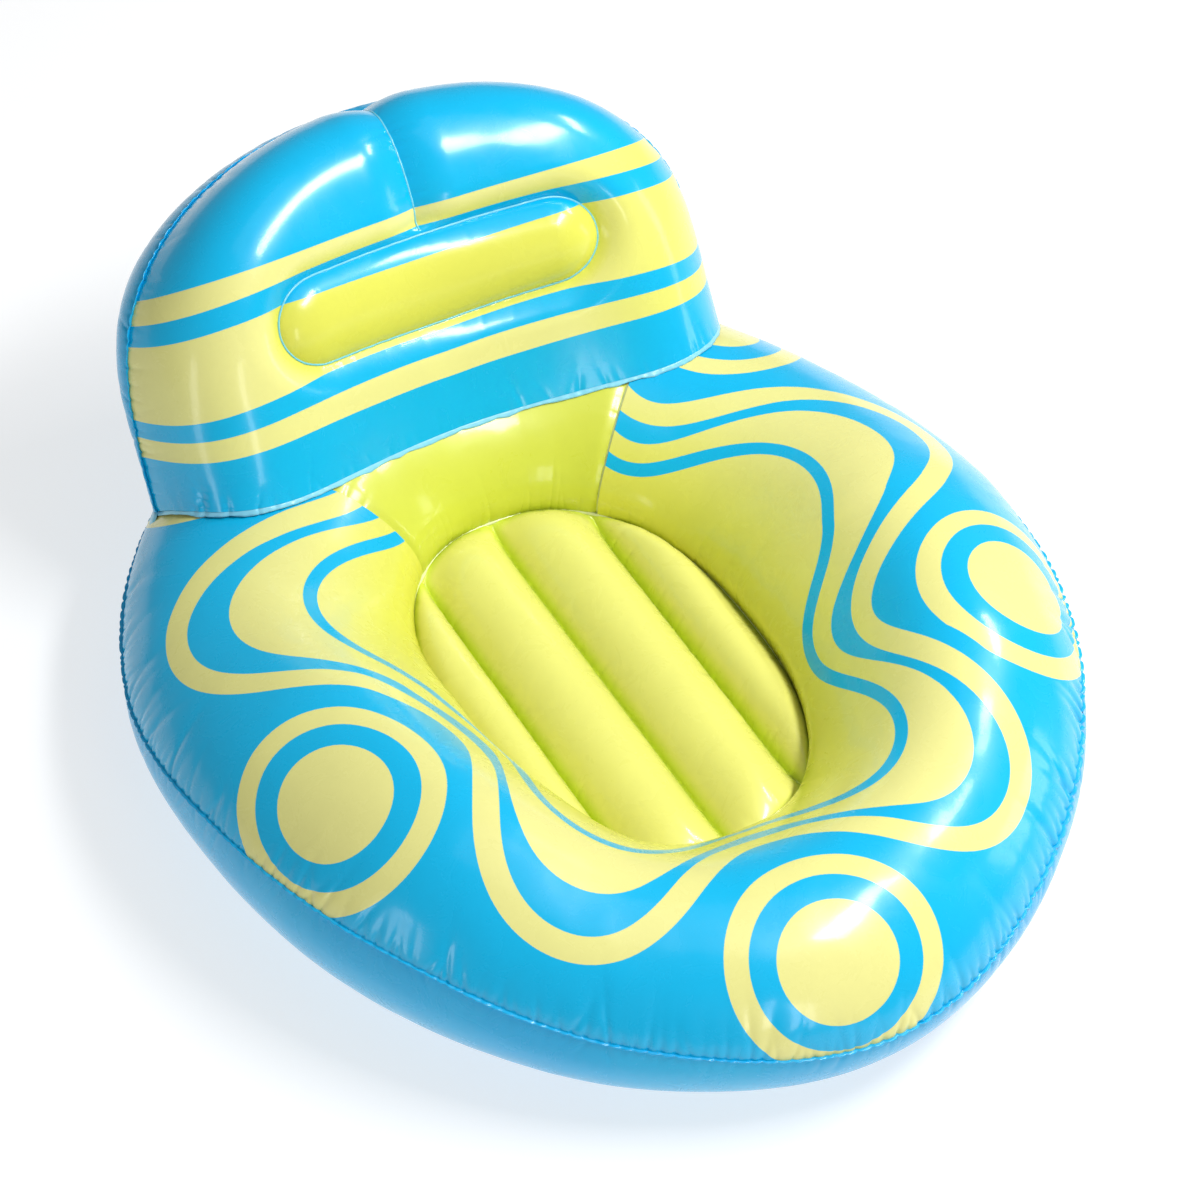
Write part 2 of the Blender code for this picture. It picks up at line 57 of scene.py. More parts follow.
cam_data = bpy.data.cameras.new("camera")
cam_data.sensor_width = 36.0
cam_data.sensor_fit = "HORIZONTAL"
cam_data.lens = 36.0 * 3452.42 / 1200
cam_data.shift_x = -(637.34 - 600) / 1200
cam_data.shift_y = (619.92 - 600) / 1200
cam = bpy.data.objects.new("camera", cam_data)
bpy.context.scene.collection.objects.link(cam)
cam.matrix_world = Matrix(((CAM_R[0], CAM_U[0], BACK[0], CAM_P[0]), (CAM_R[1], CAM_U[1], BACK[1], CAM_P[1]),
                           (CAM_R[2], CAM_U[2], BACK[2], CAM_P[2]), (0, 0, 0, 1)))
bpy.context.scene.camera = cam

# ================================================================= the chair's shape
RING_RADIUS = (0.577, 0.548, 0.537, 0.550, 0.599, 0.649, 0.655)
RING_HALF_H = (0.129, 0.128, 0.149, 0.142, 0.116, 0.121, 0.121)
RING_WELD_A = (0.09, 0.26, 0.35, 0.30, 0.12, 0.05, 0.03)
RING_WIDTH = 0.485
RING_POWER = 1.85
RING_FLAT = 1.06
FLOOR_A, FLOOR_B, FLOOR_CY, FLOOR_POWER = 0.200, 0.294, 0.048, 2.3
FLOOR_EDGE_Z = 0.097
FLOOR_WEBS = (-0.12, 0.0, 0.12)
REAR_FROM, REAR_TO, REAR_TOP = math.radians(54.5), math.radians(125.5), math.radians(104.0)
BACK_HALF_W, BACK_BASE_Z, BACK_RISE, BACK_POWER = 0.392, 0.200, 0.272, 3.5
BACK_MID = (0.598, 0.824, -1.254)
BACK_BEND = (0.814, 0.135)
BACK_FRONT_BULGE = 0.190
BACK_REAR_BULGE = (0.044, 0.042)
SKIN = 0.0006


def spow(v, e):
    return np.sign(v) * np.abs(v) ** e


def smooth(t):
    t = np.clip(t, 0.0, 1.0)
    return t * t * (3 - 2 * t)


def knots(values, s):
    v = np.array(values, float)
    n = len(v) - 1
    x = np.clip(s, 0, 1) * n
    i = np.minimum(x.astype(int), n - 1)
    t = x - i

    def at(k):
        k = np.abs(k)
        return v[np.where(k > n, 2 * n - k, k)]
    p0, p1, p2, p3 = at(i - 1), at(i), at(i + 1), at(i + 2)
    return 0.5 * (2 * p1 + (-p0 + p2) * t + (2 * p0 - 5 * p1 + 4 * p2 - p3) * t * t
                  + (-p0 + 3 * p1 - 3 * p2 + p3) * t ** 3)


def station(theta):
    theta = np.asarray(theta, float)
    s = np.abs((theta + pi / 2 + pi) % (2 * pi) - pi) / pi
    r, h, wa = knots(RING_RADIUS, s), knots(RING_HALF_H, s), knots(RING_WELD_A, s)
    p = np.stack([r * np.cos(theta), r * np.sin(theta)], -1)
    e = 2 / FLOOR_POWER
    q = np.stack([FLOOR_A * spow(np.cos(theta), e), FLOOR_B * spow(np.sin(theta), e) + FLOOR_CY], -1)
    d = p - q
    length = np.linalg.norm(d, axis=-1)
    u = d / length[..., None]
    return {"p": p, "q": q, "u": u, "w": RING_WIDTH * length, "h": h, "wa": wa, "s": s}


def ring_point(st, phi):
    """st arrays are (n,), phi is (n, m); gives (n, m, 3)"""
    a, b = spow(np.cos(phi), 2 / RING_POWER), spow(np.sin(phi), 2 / RING_POWER)
    b = np.where(b < 0, -np.minimum(1.0, -b * RING_FLAT), b)
    w, h = st["w"][:, None], st["h"][:, None]
    xy = (st["p"] - st["u"] * st["w"][:, None])[:, None, :] + st["u"][:, None, :] * (w * a)[..., None]
    return np.concatenate([xy, (h + h * b)[..., None]], -1)


def inner_phi(st):
    b = (st["h"] - FLOOR_EDGE_Z) / st["h"] / RING_FLAT
    return pi + np.arcsin(np.minimum(0.9, b ** (RING_POWER / 2)))


def fill_in(P, st, phi, f_in):
    """the inner wall swells down to the floor's outline"""
    gap = ((P[:, :, :2] - st["q"][:, None, :]) * st["u"][:, None, :]).sum(-1)
    at_in = ring_point(st, f_in[:, None])[:, 0]
    g = ((at_in[:, :2] - st["q"]) * st["u"]).sum(-1) - 0.0016
    up_side = smooth((phi - math.radians(132)) / (f_in[:, None] - math.radians(132))) ** 1.15
    low_side = smooth((math.radians(252) - phi) / (math.radians(252) - f_in[:, None]))
    k = np.where(phi <= f_in[:, None], up_side, low_side)
    # the inner shoulder is slacker round the front of the seat than a full tube would be
    ease = 0.013 * (1 - smooth((st["s"] - 0.55) / 0.22))
    slack = np.where((phi > pi / 2) & (phi < 1.06 * pi), np.sin(np.clip((phi - pi / 2) / (0.56 * pi), 0, 1) * pi) ** 2, 0.0)
    P = P.copy()
    P[:, :, :2] -= st["u"][:, None, :] * (g[:, None] * k - ease[:, None] * slack)[..., None]
    P[:, :, 2] -= 0.45 * ease[:, None] * slack
    return P


def ring_top_z(x, y):
    x, y = np.asarray(x, float), np.asarray(y, float)
    shape = x.shape
    x, y = x.ravel(), y.ravel()

    def side(t):
        st = station(t)
        d = np.stack([x, y], -1) - st["p"]
        return st["u"][:, 0] * d[:, 1] - st["u"][:, 1] * d[:, 0], st, d
    mid = np.arctan2(y, x)
    lo, hi = mid - 0.6, mid + 0.6
    flo = side(lo)[0]
    for _ in range(22):
        m = (lo + hi) / 2
        f = side(m)[0]
        same = (f > 0) == (flo > 0)
        lo, hi = np.where(same, m, lo), np.where(same, hi, m)
    f, st, d = side((lo + hi) / 2)
    along = ((d + st["u"] * st["w"][:, None]) * st["u"]).sum(-1) / st["w"]
    z = st["h"] + st["h"] * np.maximum(0.0, 1 - np.minimum(1.0, np.abs(along)) ** RING_POWER) ** (1 / RING_POWER)
    return z.reshape(shape)


def back_mid(x, z):
    h = z - BACK_BASE_Z
    k = BACK_BEND[0] + BACK_BEND[1] * np.clip(h / BACK_RISE, 0, 1)
    return np.stack([x, BACK_MID[0] + BACK_MID[1] * h + BACK_MID[2] * h * h - k * x * x, z], -1)


def back_rho(x, z):
    n = BACK_POWER
    return np.minimum(1.0, (np.abs(x / BACK_HALF_W) ** n + np.abs((z - BACK_BASE_Z) / BACK_RISE) ** n) ** (1 / n))


def unit(v):
    return v / (np.linalg.norm(v, axis=-1, keepdims=True) + 1e-20)


def back_front(x, z):
    t = (z - BACK_BASE_Z) / BACK_RISE
    b = BACK_FRONT_BULGE * (1 - back_rho(x, z) ** 5) ** 0.5
    phi = np.radians(-3 + 56.5 * t)
    d = unit(np.stack([-0.25 * x / BACK_HALF_W, -np.cos(phi), np.sin(phi)], -1))
    return back_mid(x, z) + d * b[..., None]


def back_rear(x, z):
    t = (z - BACK_BASE_Z) / BACK_RISE
    b = (BACK_REAR_BULGE[0] + BACK_REAR_BULGE[1] * smooth(t / 0.45)) * (1 - back_rho(x, z) ** 5) ** 0.5
    d = unit(np.stack([0.34 * x / BACK_HALF_W, np.ones_like(x), -0.50 * smooth((t - 0.50) / 0.45)], -1))
    return back_mid(x, z) + d * b[..., None]


# ================================================================= helpers
rng = np.random.default_rng(7)
_table = rng.random((64, 64, 64)).astype(np.float32)


def noise3(P, cell, shift=0.0):
    """smooth value noise, -1 to 1, of points in metres with the given cell size"""
    q = np.asarray(P, float) / cell + 31.7 + shift
    i = np.floor(q).astype(int)
    f = q - i
    f = f * f * f * (f * (6 * f - 15) + 10)
    out = 0.0
    for a in (0, 1):
        for b in (0, 1):
            for c in (0, 1):
                w = (f[..., 0] if a else 1 - f[..., 0]) * (f[..., 1] if b else 1 - f[..., 1]) * (f[..., 2] if c else 1 - f[..., 2])
                out = out + w * _table[(i[..., 0] + a) % 64, (i[..., 1] + b) % 64, (i[..., 2] + c) % 64]
    return out * 2 - 1


def grid_normals(P, wrap=False):
    if wrap:
        du = np.roll(P, -1, 0) - np.roll(P, 1, 0)
    else:
        du = np.gradient(P, axis=0)
    dv = np.gradient(P, axis=1)
    return unit(np.cross(du, dv))


def arc(points, closed=False):
    """running length along a line of points"""
    d = np.linalg.norm(np.diff(points, axis=0), axis=1)
    return np.concatenate([[0.0], np.cumsum(d)])


def nearest(line, P):
    """for each point of P: running length of the nearest point of a dense line, and the distance"""
    tree = kdtree.KDTree(len(line))
    for k, q in enumerate(line):
        tree.insert(q, k)
    tree.balance()
    s = arc(line)
    flat = P.reshape(-1, 3)
    out_s, out_d = np.empty(len(flat)), np.empty(len(flat))
    for k, q in enumerate(flat):
        _, i, d = tree.find(q)
        out_s[k], out_d[k] = s[i], d
    return out_s.reshape(P.shape[:-1]), out_d.reshape(P.shape[:-1])


def make_folds(total, gap, amp, width, reach, seed, strength=None):
    r = np.random.default_rng(seed)
    s, out = 0.0, []
    while s < total:
        k = 1.0 if strength is None else float(strength(s))
        long = r.random() < 0.35
        out.append((s, r.uniform(*amp) * k * (1.25 if long else 0.9), r.uniform(*width),
                    r.uniform(*reach) * (1.5 if long else 0.8), r.normal(0, 0.22)))
        s += r.uniform(*gap)
    return out


def fold_field(s, d, folds, total=None, widen=0.022):
    """sharp little valleys square to a weld, deep at the weld and fading with distance"""
    out = np.zeros_like(d)
    near = d < 0.11
    ss, dd = s[near], d[near]
    acc = np.zeros_like(dd)
    for sk, a, w, reach, slant in folds:
        ds = ss - sk - slant * dd
        if total is not None:
            ds = (ds + total / 2) % total - total / 2
        m = np.abs(ds) < 0.03
        if not m.any():
            continue
        wd = w * (1 + dd[m] / widen)
        acc[m] -= a * np.exp(-(np.abs(ds[m]) / wd) ** 1.5) * np.exp(-(dd[m] / reach) ** 1.3)
    out[near] = acc
    return out


def link(ob):
    bpy.context.scene.collection.objects.link(ob)
    return ob


def mesh_piece(name, verts, faces, mat, attrs=None, uv=None, smooth_shade=True):
    """verts in the drawing's own plan; the plan shift is applied here"""
    v = np.array(verts, float).reshape(-1, 3).copy()
    v[:, 1] -= PLAN_SHIFT
    me = bpy.data.meshes.new(name)
    faces = np.asarray(faces)
    n = faces.shape[1]
    me.vertices.add(len(v))
    me.vertices.foreach_set("co", v.astype(np.float32).ravel())
    me.loops.add(len(faces) * n)
    me.loops.foreach_set("vertex_index", faces.ravel().astype(np.int32))
    me.polygons.add(len(faces))
    me.polygons.foreach_set("loop_start", np.arange(0, len(faces) * n, n, dtype=np.int32))
    me.polygons.foreach_set("use_smooth", np.full(len(faces), smooth_shade))
    me.update(calc_edges=True)
    me.validate()
    for key, values in (attrs or {}).items():
        a = me.attributes.new(key, "FLOAT", "POINT")
        a.data.foreach_set("value", np.asarray(values, np.float32).ravel())
    if uv is not None:
        layer = me.uv_layers.new(name="plan")
        u = np.asarray(uv, np.float32).reshape(-1, 2)[faces.ravel()]
        layer.data.foreach_set("uv", u.ravel())
    me.materials.append(mat)
    return link(bpy.data.objects.new(name, me))


def grid_quads(nu, nv, wrap=False, keep=None, flip=False):
    i = np.arange(nu if wrap else nu - 1)
    j = np.arange(nv - 1)
    I, J = np.meshgrid(i, j, indexing="ij")
    if keep is not None:
        m = keep(I, J)
        I, J = I[m], J[m]
    I, J = I.ravel(), J.ravel()
    K = (I + 1) % nu
    f = np.stack([I * nv + J, K * nv + J, K * nv + J + 1, I * nv + J + 1], 1)
    return f[:, ::-1] if flip else f


def own(ob, body, slot, *nodes, pad=None):
    if nodes:
        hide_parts(*nodes)
    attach(ob, body)
    return ob


# ================================================================= materials
def new_mat(name):
    m = bpy.data.materials.new(name)
    m.use_nodes = True
    return m, m.node_tree.nodes, m.node_tree.links, m.node_tree.nodes["Principled BSDF"]


def node(nodes, kind, **values):
    n = nodes.new(kind)
    for k, v in values.items():
        if k in n.inputs:
            n.inputs[k].default_value = v
        else:
            setattr(n, k, v)
    return n


def film_finish(m, nodes, links, bsdf, colour, rough=0.24, grain=0.10, soft=0.22, coat=0.50):
    """glossy soft vinyl: faint cloudiness in the colour, fine calendered grain, soft ripples in the gloss"""
    coord = nodes.new("ShaderNodeTexCoord")
    # colour: slow cloudiness and a fine mottling of the film
    cloud = node(nodes, "ShaderNodeTexNoise", Scale=7.0, Detail=3.0, Roughness=0.5)
    links.new(coord.outputs["Object"], cloud.inputs["Vector"])
    mott = node(nodes, "ShaderNodeTexNoise", Scale=140.0, Detail=2.0, Roughness=0.6)
    links.new(coord.outputs["Object"], mott.inputs["Vector"])
    add = node(nodes, "ShaderNodeMath", operation="MULTIPLY_ADD")
    links.new(cloud.outputs["Fac"], add.inputs[0])
    add.inputs[1].default_value = 0.10
    add.inputs[2].default_value = 0.93
    add2 = node(nodes, "ShaderNodeMath", operation="MULTIPLY_ADD")
    links.new(mott.outputs["Fac"], add2.inputs[0])
    add2.inputs[1].default_value = 0.04
    links.new(add.outputs[0], add2.inputs[2])
    tint = node(nodes, "ShaderNodeVectorMath", operation="SCALE")
    links.new(colour, tint.inputs[0])
    links.new(add2.outputs[0], tint.inputs["Scale"])
    links.new(tint.outputs[0], bsdf.inputs["Base Color"])
    # gloss: smears and handling marks
    smear = node(nodes, "ShaderNodeTexNoise", Scale=22.0, Detail=5.0, Roughness=0.62, Distortion=0.6)
    links.new(coord.outputs["Object"], smear.inputs["Vector"])
    rr = node(nodes, "ShaderNodeMapRange")
    rr.inputs["From Min"].default_value = 0.30
    rr.inputs["From Max"].default_value = 0.75
    rr.inputs["To Min"].default_value = rough - 0.05
    rr.inputs["To Max"].default_value = rough + 0.07
    links.new(smear.outputs["Fac"], rr.inputs["Value"])
    links.new(rr.outputs[0], bsdf.inputs["Roughness"])
    # relief: calendered grain, small dimples, soft ripples
    fine = node(nodes, "ShaderNodeTexNoise", Scale=1500.0, Detail=1.0, Roughness=0.5)
    links.new(coord.outputs["Object"], fine.inputs["Vector"])
    ripple = node(nodes, "ShaderNodeTexNoise", Scale=38.0, Detail=2.0, Roughness=0.45)
    links.new(coord.outputs["Object"], ripple.inputs["Vector"])
    b1 = node(nodes, "ShaderNodeBump", Strength=grain, Distance=0.0001)
    links.new(fine.outputs["Fac"], b1.inputs["Height"])
    b2 = node(nodes, "ShaderNodeBump", Strength=soft, Distance=0.0005)
    links.new(ripple.outputs["Fac"], b2.inputs["Height"])
    links.new(b1.outputs[0], b2.inputs["Normal"])
    links.new(b2.outputs[0], bsdf.inputs["Normal"])
    bsdf.inputs["IOR"].default_value = 1.45
    bsdf.inputs["Specular IOR Level"].default_value = 0.38
    bsdf.inputs["Coat Weight"].default_value = coat
    bsdf.inputs["Coat Roughness"].default_value = 0.11
    bsdf.inputs["Coat IOR"].default_value = 1.43


BLUE = (0.0015, 0.448, 0.768, 1.0)
BLUE_DEEP = (0.0015, 0.388, 0.742, 1.0)
YELLOW = (0.790, 0.755, 0.270, 1.0)
LIME = (0.775, 0.785, 0.100, 1.0)
# LIME_DEEP is painted shade on the floor's seams and rim; in lime_vinyl it is a random deeper tone
LIME_DEEP = (0.560, 0.700, 0.004, 1.0)
LIME_PALE = (0.800, 0.780, 0.185, 1.0)
# LIME_RICH is partly print tone, partly painted shade: the ring's inner wall and the backrest's right side deepen to it
LIME_RICH = (0.700, 0.700, 0.070, 1.0)
WALL_TOP = (0.660, 0.690, 0.085, 1.0)
WALL_LOW = (0.600, 0.660, 0.045, 1.0)


def plain_film(name, rgb, rgb2=None, **kw):
    m, nodes, links, bsdf = new_mat(name)
    coord = nodes.new("ShaderNodeTexCoord")
    n = node(nodes, "ShaderNodeTexNoise", Scale=3.2, Detail=2.0, Roughness=0.5)
    links.new(coord.outputs["Object"], n.inputs["Vector"])
    ramp = node(nodes, "ShaderNodeMapRange")
    ramp.inputs["From Min"].default_value = 0.35
    ramp.inputs["From Max"].default_value = 0.70
    links.new(n.outputs["Fac"], ramp.inputs["Value"])
    mix = node(nodes, "ShaderNodeMix", data_type="RGBA")
    mix.inputs["A"].default_value = rgb
    mix.inputs["B"].default_value = rgb2 or rgb
    mix.inputs[6].default_value = rgb
    mix.inputs[7].default_value = rgb2 or rgb
    links.new(ramp.outputs[0], mix.inputs[0])
    film_finish(m, nodes, links, bsdf, mix.outputs[2], **kw)
    return m


def print_film(name, attr, ground, ink, ink2=None, grade=None, edge=0.00035, line=None, **kw):
    """two-colour print: attr is the signed distance in metres to the print's outline, over 0 inside;
    line is (distance to the band's curve, its half width, signed distance to the filled side's edge,
    distance to the thin contour inside that fill, its half width)"""
    m, nodes, links, bsdf = new_mat(name)
    a = node(nodes, "ShaderNodeAttribute", attribute_name=attr)
    coord = nodes.new("ShaderNodeTexCoord")
    wob = node(nodes, "ShaderNodeTexNoise", Scale=420.0, Detail=1.0)
    links.new(coord.outputs["Object"], wob.inputs["Vector"])
    w2 = node(nodes, "ShaderNodeMath", operation="MULTIPLY_ADD")
    links.new(wob.outputs["Fac"], w2.inputs[0])
    w2.inputs[1].default_value = 0.0005
    links.new(a.outputs["Fac"], w2.inputs[2])
    if line:
        band_attr, half, fill_attr, cut_attr, cut_half = line
        dl = node(nodes, "ShaderNodeAttribute", attribute_name=band_attr)
        db = node(nodes, "ShaderNodeMath", operation="ABSOLUTE")
        links.new(dl.outputs["Fac"], db.inputs[0])
        on_band = node(nodes, "ShaderNodeMath", operation="SUBTRACT")
        on_band.inputs[0].default_value = half
        links.new(db.outputs[0], on_band.inputs[1])
        dc = node(nodes, "ShaderNodeAttribute", attribute_name=cut_attr)
        dca = node(nodes, "ShaderNodeMath", operation="ABSOLUTE")
        links.new(dc.outputs["Fac"], dca.inputs[0])
        off_cut = node(nodes, "ShaderNodeMath", operation="SUBTRACT")
        links.new(dca.outputs[0], off_cut.inputs[0])
        off_cut.inputs[1].default_value = cut_half
        df = node(nodes, "ShaderNodeAttribute", attribute_name=fill_attr)
        filled = node(nodes, "ShaderNodeMath", operation="MINIMUM")
        links.new(off_cut.outputs[0], filled.inputs[0])
        links.new(df.outputs["Fac"], filled.inputs[1])
        s7 = node(nodes, "ShaderNodeMath", operation="MAXIMUM")
        links.new(on_band.outputs[0], s7.inputs[0])
        links.new(filled.outputs[0], s7.inputs[1])
        every = node(nodes, "ShaderNodeMath", operation="MAXIMUM")
        links.new(s7.outputs[0], every.inputs[0])
        links.new(a.outputs["Fac"], every.inputs[1])
        links.new(every.outputs[0], w2.inputs[2])
    step = node(nodes, "ShaderNodeMapRange", interpolation_type="SMOOTHSTEP")
    step.inputs["From Min"].default_value = -edge + 0.00025
    step.inputs["From Max"].default_value = edge + 0.00025
    links.new(w2.outputs[0], step.inputs["Value"])
    mix = node(nodes, "ShaderNodeMix", data_type="RGBA")
    mix.inputs[6].default_value = ground
    if grade:
        g = node(nodes, "ShaderNodeAttribute", attribute_name=grade)
        gm = node(nodes, "ShaderNodeMix", data_type="RGBA")
        gm.inputs[6].default_value = ink
        gm.inputs[7].default_value = ink2
        links.new(g.outputs["Fac"], gm.inputs[0])
        links.new(gm.outputs[2], mix.inputs[7])
    else:
        mix.inputs[7].default_value = ink
    links.new(step.outputs[0], mix.inputs[0])
    film_finish(m, nodes, links, bsdf, mix.outputs[2], **kw)
    return m


def clear_film(name, rgb, alpha_rgb=None, rough=0.25, transmission=0.55):
    m, nodes, links, bsdf = new_mat(name)
    coord = nodes.new("ShaderNodeTexCoord")
    n = node(nodes, "ShaderNodeTexNoise", Scale=60.0, Detail=3.0, Roughness=0.6)
    links.new(coord.outputs["Object"], n.inputs["Vector"])
    mix = node(nodes, "ShaderNodeMix", data_type="RGBA")
    mix.inputs[6].default_value = rgb
    mix.inputs[7].default_value = tuple(min(1.0, c * 0.86) for c in rgb[:3]) + (1.0,)
    links.new(n.outputs["Fac"], mix.inputs[0])
    links.new(mix.outputs[2], bsdf.inputs["Base Color"])
    rr = node(nodes, "ShaderNodeMapRange")
    rr.inputs["To Min"].default_value = rough
    rr.inputs["To Max"].default_value = rough + 0.12
    links.new(n.outputs["Fac"], rr.inputs["Value"])
    links.new(rr.outputs[0], bsdf.inputs["Roughness"])
    b = node(nodes, "ShaderNodeBump", Strength=0.25, Distance=0.0003)
    links.new(n.outputs["Fac"], b.inputs["Height"])
    links.new(b.outputs[0], bsdf.inputs["Normal"])
    bsdf.inputs["IOR"].default_value = 1.45
    bsdf.inputs["Coat Weight"].default_value = 0.2
    bsdf.inputs["Coat Roughness"].default_value = 0.12
    return m


MAT_RING = print_film("ring_print", "print_sd", BLUE, YELLOW, LIME_RICH, "inner", line=("band_d", 0.0150, "fill_d", "cut_d", 0.0085), rough=0.27)
MAT_BACK = print_film("stripe_print", "print_sd", BLUE, YELLOW, LIME_RICH, "inner", rough=0.25)
MAT_LIME = plain_film("lime_vinyl", LIME, LIME_DEEP, rough=0.27)
MAT_BLUE = plain_film("blue_vinyl", BLUE, BLUE_DEEP, rough=0.26, coat=0.28)
MAT_WELD_BLUE = plain_film("blue_weld", (0.004, 0.40, 0.76, 1.0), (0.006, 0.45, 0.80, 1.0), rough=0.32, grain=0.3, soft=0.6)
MAT_CLEAR = clear_film("clear_vinyl", (0.62, 0.82, 0.90, 1.0))
MAT_BEAD = clear_film("weld_clear", (0.20, 0.66, 0.80, 1.0), rough=0.22)
MAT_FLANGE = clear_film("weld_flange", (0.25, 0.68, 0.88, 1.0), rough=0.26)
MAT_BEAD_LIME = clear_film("weld_lime", (0.80, 0.86, 0.42, 1.0), rough=0.25)
MAT_WHITE = clear_film("valve_white_vinyl", (0.86, 0.88, 0.90, 1.0), rough=0.35)
MAT_VALVE = clear_film("valve_clear_vinyl", (0.66, 0.80, 0.88, 1.0), rough=0.22)

# ================================================================= ring
N_RING = 1800


def weld_line(th):
    st = station(th)
    return ring_point(st, st["wa"][:, None])[:, 0]


_t = REAR_FROM - 0.0006 + 2 * pi * np.arange(7201) / 7200
_w = weld_line(_t)
_s = arc(_w)
RING_TOTAL = float(_s[-1])
theta = np.interp(RING_TOTAL * np.arange(N_RING) / N_RING, _s, _t)
rear_n = int(np.argmin(np.abs(theta - (REAR_TO + 0.0006))))
theta[rear_n] = REAR_TO + 0.0006
ring_s = np.interp(theta, _t, _s)          # running length of the outer weld at each station
ST = station(theta)


def rows_by_length(st, phi0, phi1, fixed, count):
    """angles of rows: first at fixed lengths from phi0, then evenly to phi1"""
    n = len(st["h"])
    k = np.linspace(0, 1, 300)
    ph = phi0[:, None] + (phi1 - phi0)[:, None] * k
    P = ring_point(st, ph)
    d = np.linalg.norm(np.diff(P, axis=1), axis=2)
    L = np.concatenate([np.zeros((n, 1)), np.cumsum(d, 1)], 1)
    out, length = [], []
    for i in range(n):
        target = np.concatenate([fixed, fixed[-1] + (L[i, -1] - fixed[-1]) * np.arange(1, count + 1) / count])
        out.append(np.interp(target, L[i], ph[i]))
        length.append(target)
    return np.array(out), np.array(length)


q = 1
_fine = np.array([0, .0012, .0030, .0052, .0076] + [.0101 + .0027 * k for k in range(16)])
ph_a, len_a = rows_by_length(ST, ST["wa"], np.full(N_RING, REAR_TOP - 0.002), _fine, 30 // q)
f_in = inner_phi(ST)
ph_b, len_b = rows_by_length(ST, np.full(N_RING, REAR_TOP - 0.002), f_in, np.array([0.0]), 32 // q)
ph = np.concatenate([ph_a, ph_b[:, 1:]], 1)
ring_v = np.concatenate([len_a, len_a[:, -1:] + len_b[:, 1:]], 1)
CUT = ph_a.shape[1] - 1
P0 = fill_in(ring_point(ST, ph), ST, ph, f_in)
NV = P0.shape[1]
total_v = ring_v[:, -1:]
from_inner = total_v - ring_v
S = np.repeat(ring_s[:, None], NV, 1)


def seam_strength(s):
    """puckers are strongest at the front right and the front, where the seam turns most"""
    t = float(np.interp(s % RING_TOTAL, ring_s, theta))
    return 0.62 + 1.00 * math.exp(-((((t - math.radians(-42)) + pi) % (2 * pi) - pi) / 0.80) ** 2)


OUT_FOLDS = make_folds(RING_TOTAL, (0.009, 0.021), (0.0015, 0.0034), (0.0017, 0.0034), (0.015, 0.036), 11, seam_strength)
IN_FOLDS = make_folds(RING_TOTAL, (0.030, 0.085), (0.0005, 0.0013), (0.0030, 0.0060), (0.018, 0.040), 12)
N0 = grid_normals(P0, True)
if float((N0[0, NV // 3] * np.array([0, 0, 1.0])).sum()) < 0:
    N0 = -N0
disp = fold_field(S, ring_v, OUT_FOLDS, RING_TOTAL)
disp += fold_field(S, from_inner, IN_FOLDS, RING_TOTAL, widen=0.05) * smooth(from_inner / 0.004)
edge_ease = smooth(ring_v / 0.03) * smooth(from_inner / 0.03)
disp += 0.0011 * noise3(P0, 0.11) * edge_ease + 0.00035 * noise3(P0, 0.035, 5.0) * edge_ease
# the film bulges a little between the puckers
disp += 0.0006 * np.exp(-(ring_v / 0.03) ** 2) * smooth(ring_v / 0.006)
P_ring = P0 + N0 * disp[..., None]

# print: a sinuous band between two seams, with ringed discs in its bays
WAVES = 5
PHASE = math.radians(206)


def wave_share(t, mid=0.440, swing=0.235):
    x = np.sin(WAVES * t + PHASE)
    return mid + swing * x * (1.14 - 0.14 * x * x)


share = ring_v / total_v


def at_share(i, w):
    """a point of the top sheet at station i, a share w of the way from the outer to the inner weld"""
    return np.array([np.interp(w, share[i], P0[i, :, k]) for k in range(3)])


def contour(*shape):
    """signed distance to a wave on the top sheet, over 0 on the seat's side"""
    w = wave_share(theta, *shape)
    line = np.array([at_share(i, w[i]) for i in range(N_RING)] + [at_share(0, w[0])])
    run = arc(line)
    at = np.linspace(0, run[-1], int(run[-1] / 0.0006))
    dense = np.stack([np.interp(at, run, line[:, k]) for k in range(3)], 1)
    _, d = nearest(dense, P0)
    return np.where(share > w[:, None], d, -d)


# outer bays hold ringed discs; the seat's side is filled up to a calmer wave, with a thin contour in it
d_band = contour()
d_fill = contour(0.560, 0.205)
d_cut = contour(0.705, 0.130)
sd = np.full_like(share, -0.05)
for k in range(WAVES):
    tc = (pi / 2 - PHASE + 2 * pi * k) / WAVES
    c = at_share(int(np.argmin(np.abs((theta - tc + pi) % (2 * pi) - pi))), 0.228)
    D = np.linalg.norm(P0 - c, axis=-1)
    r1, r2, r3 = 0.070, 0.100, 0.127
    m = np.maximum(r1 - D, (r3 - r2) / 2 - np.abs(D - (r2 + r3) / 2))
    sd = np.maximum(sd, np.minimum(m, -d_band - 0.038))
# painted shade: towards the seat the yellow ink deepens to LIME_RICH, partly the print's own lime, partly shade on the
# inner wall
inner_tone_and_shade = smooth((ring_v / total_v - 0.50) / 0.46)

ring_top = mesh_piece("ring_top_skin", P_ring,
                      grid_quads(N_RING, NV, True, lambda I, J: ~((I < rear_n) & (J >= CUT))),
                      MAT_RING, {"print_sd": sd, "band_d": d_band, "fill_d": d_fill, "cut_d": d_cut, "inner": inner_tone_and_shade})
own(ring_top, "root", "ring_print_film", "ring_top_panel", pad=1.0)

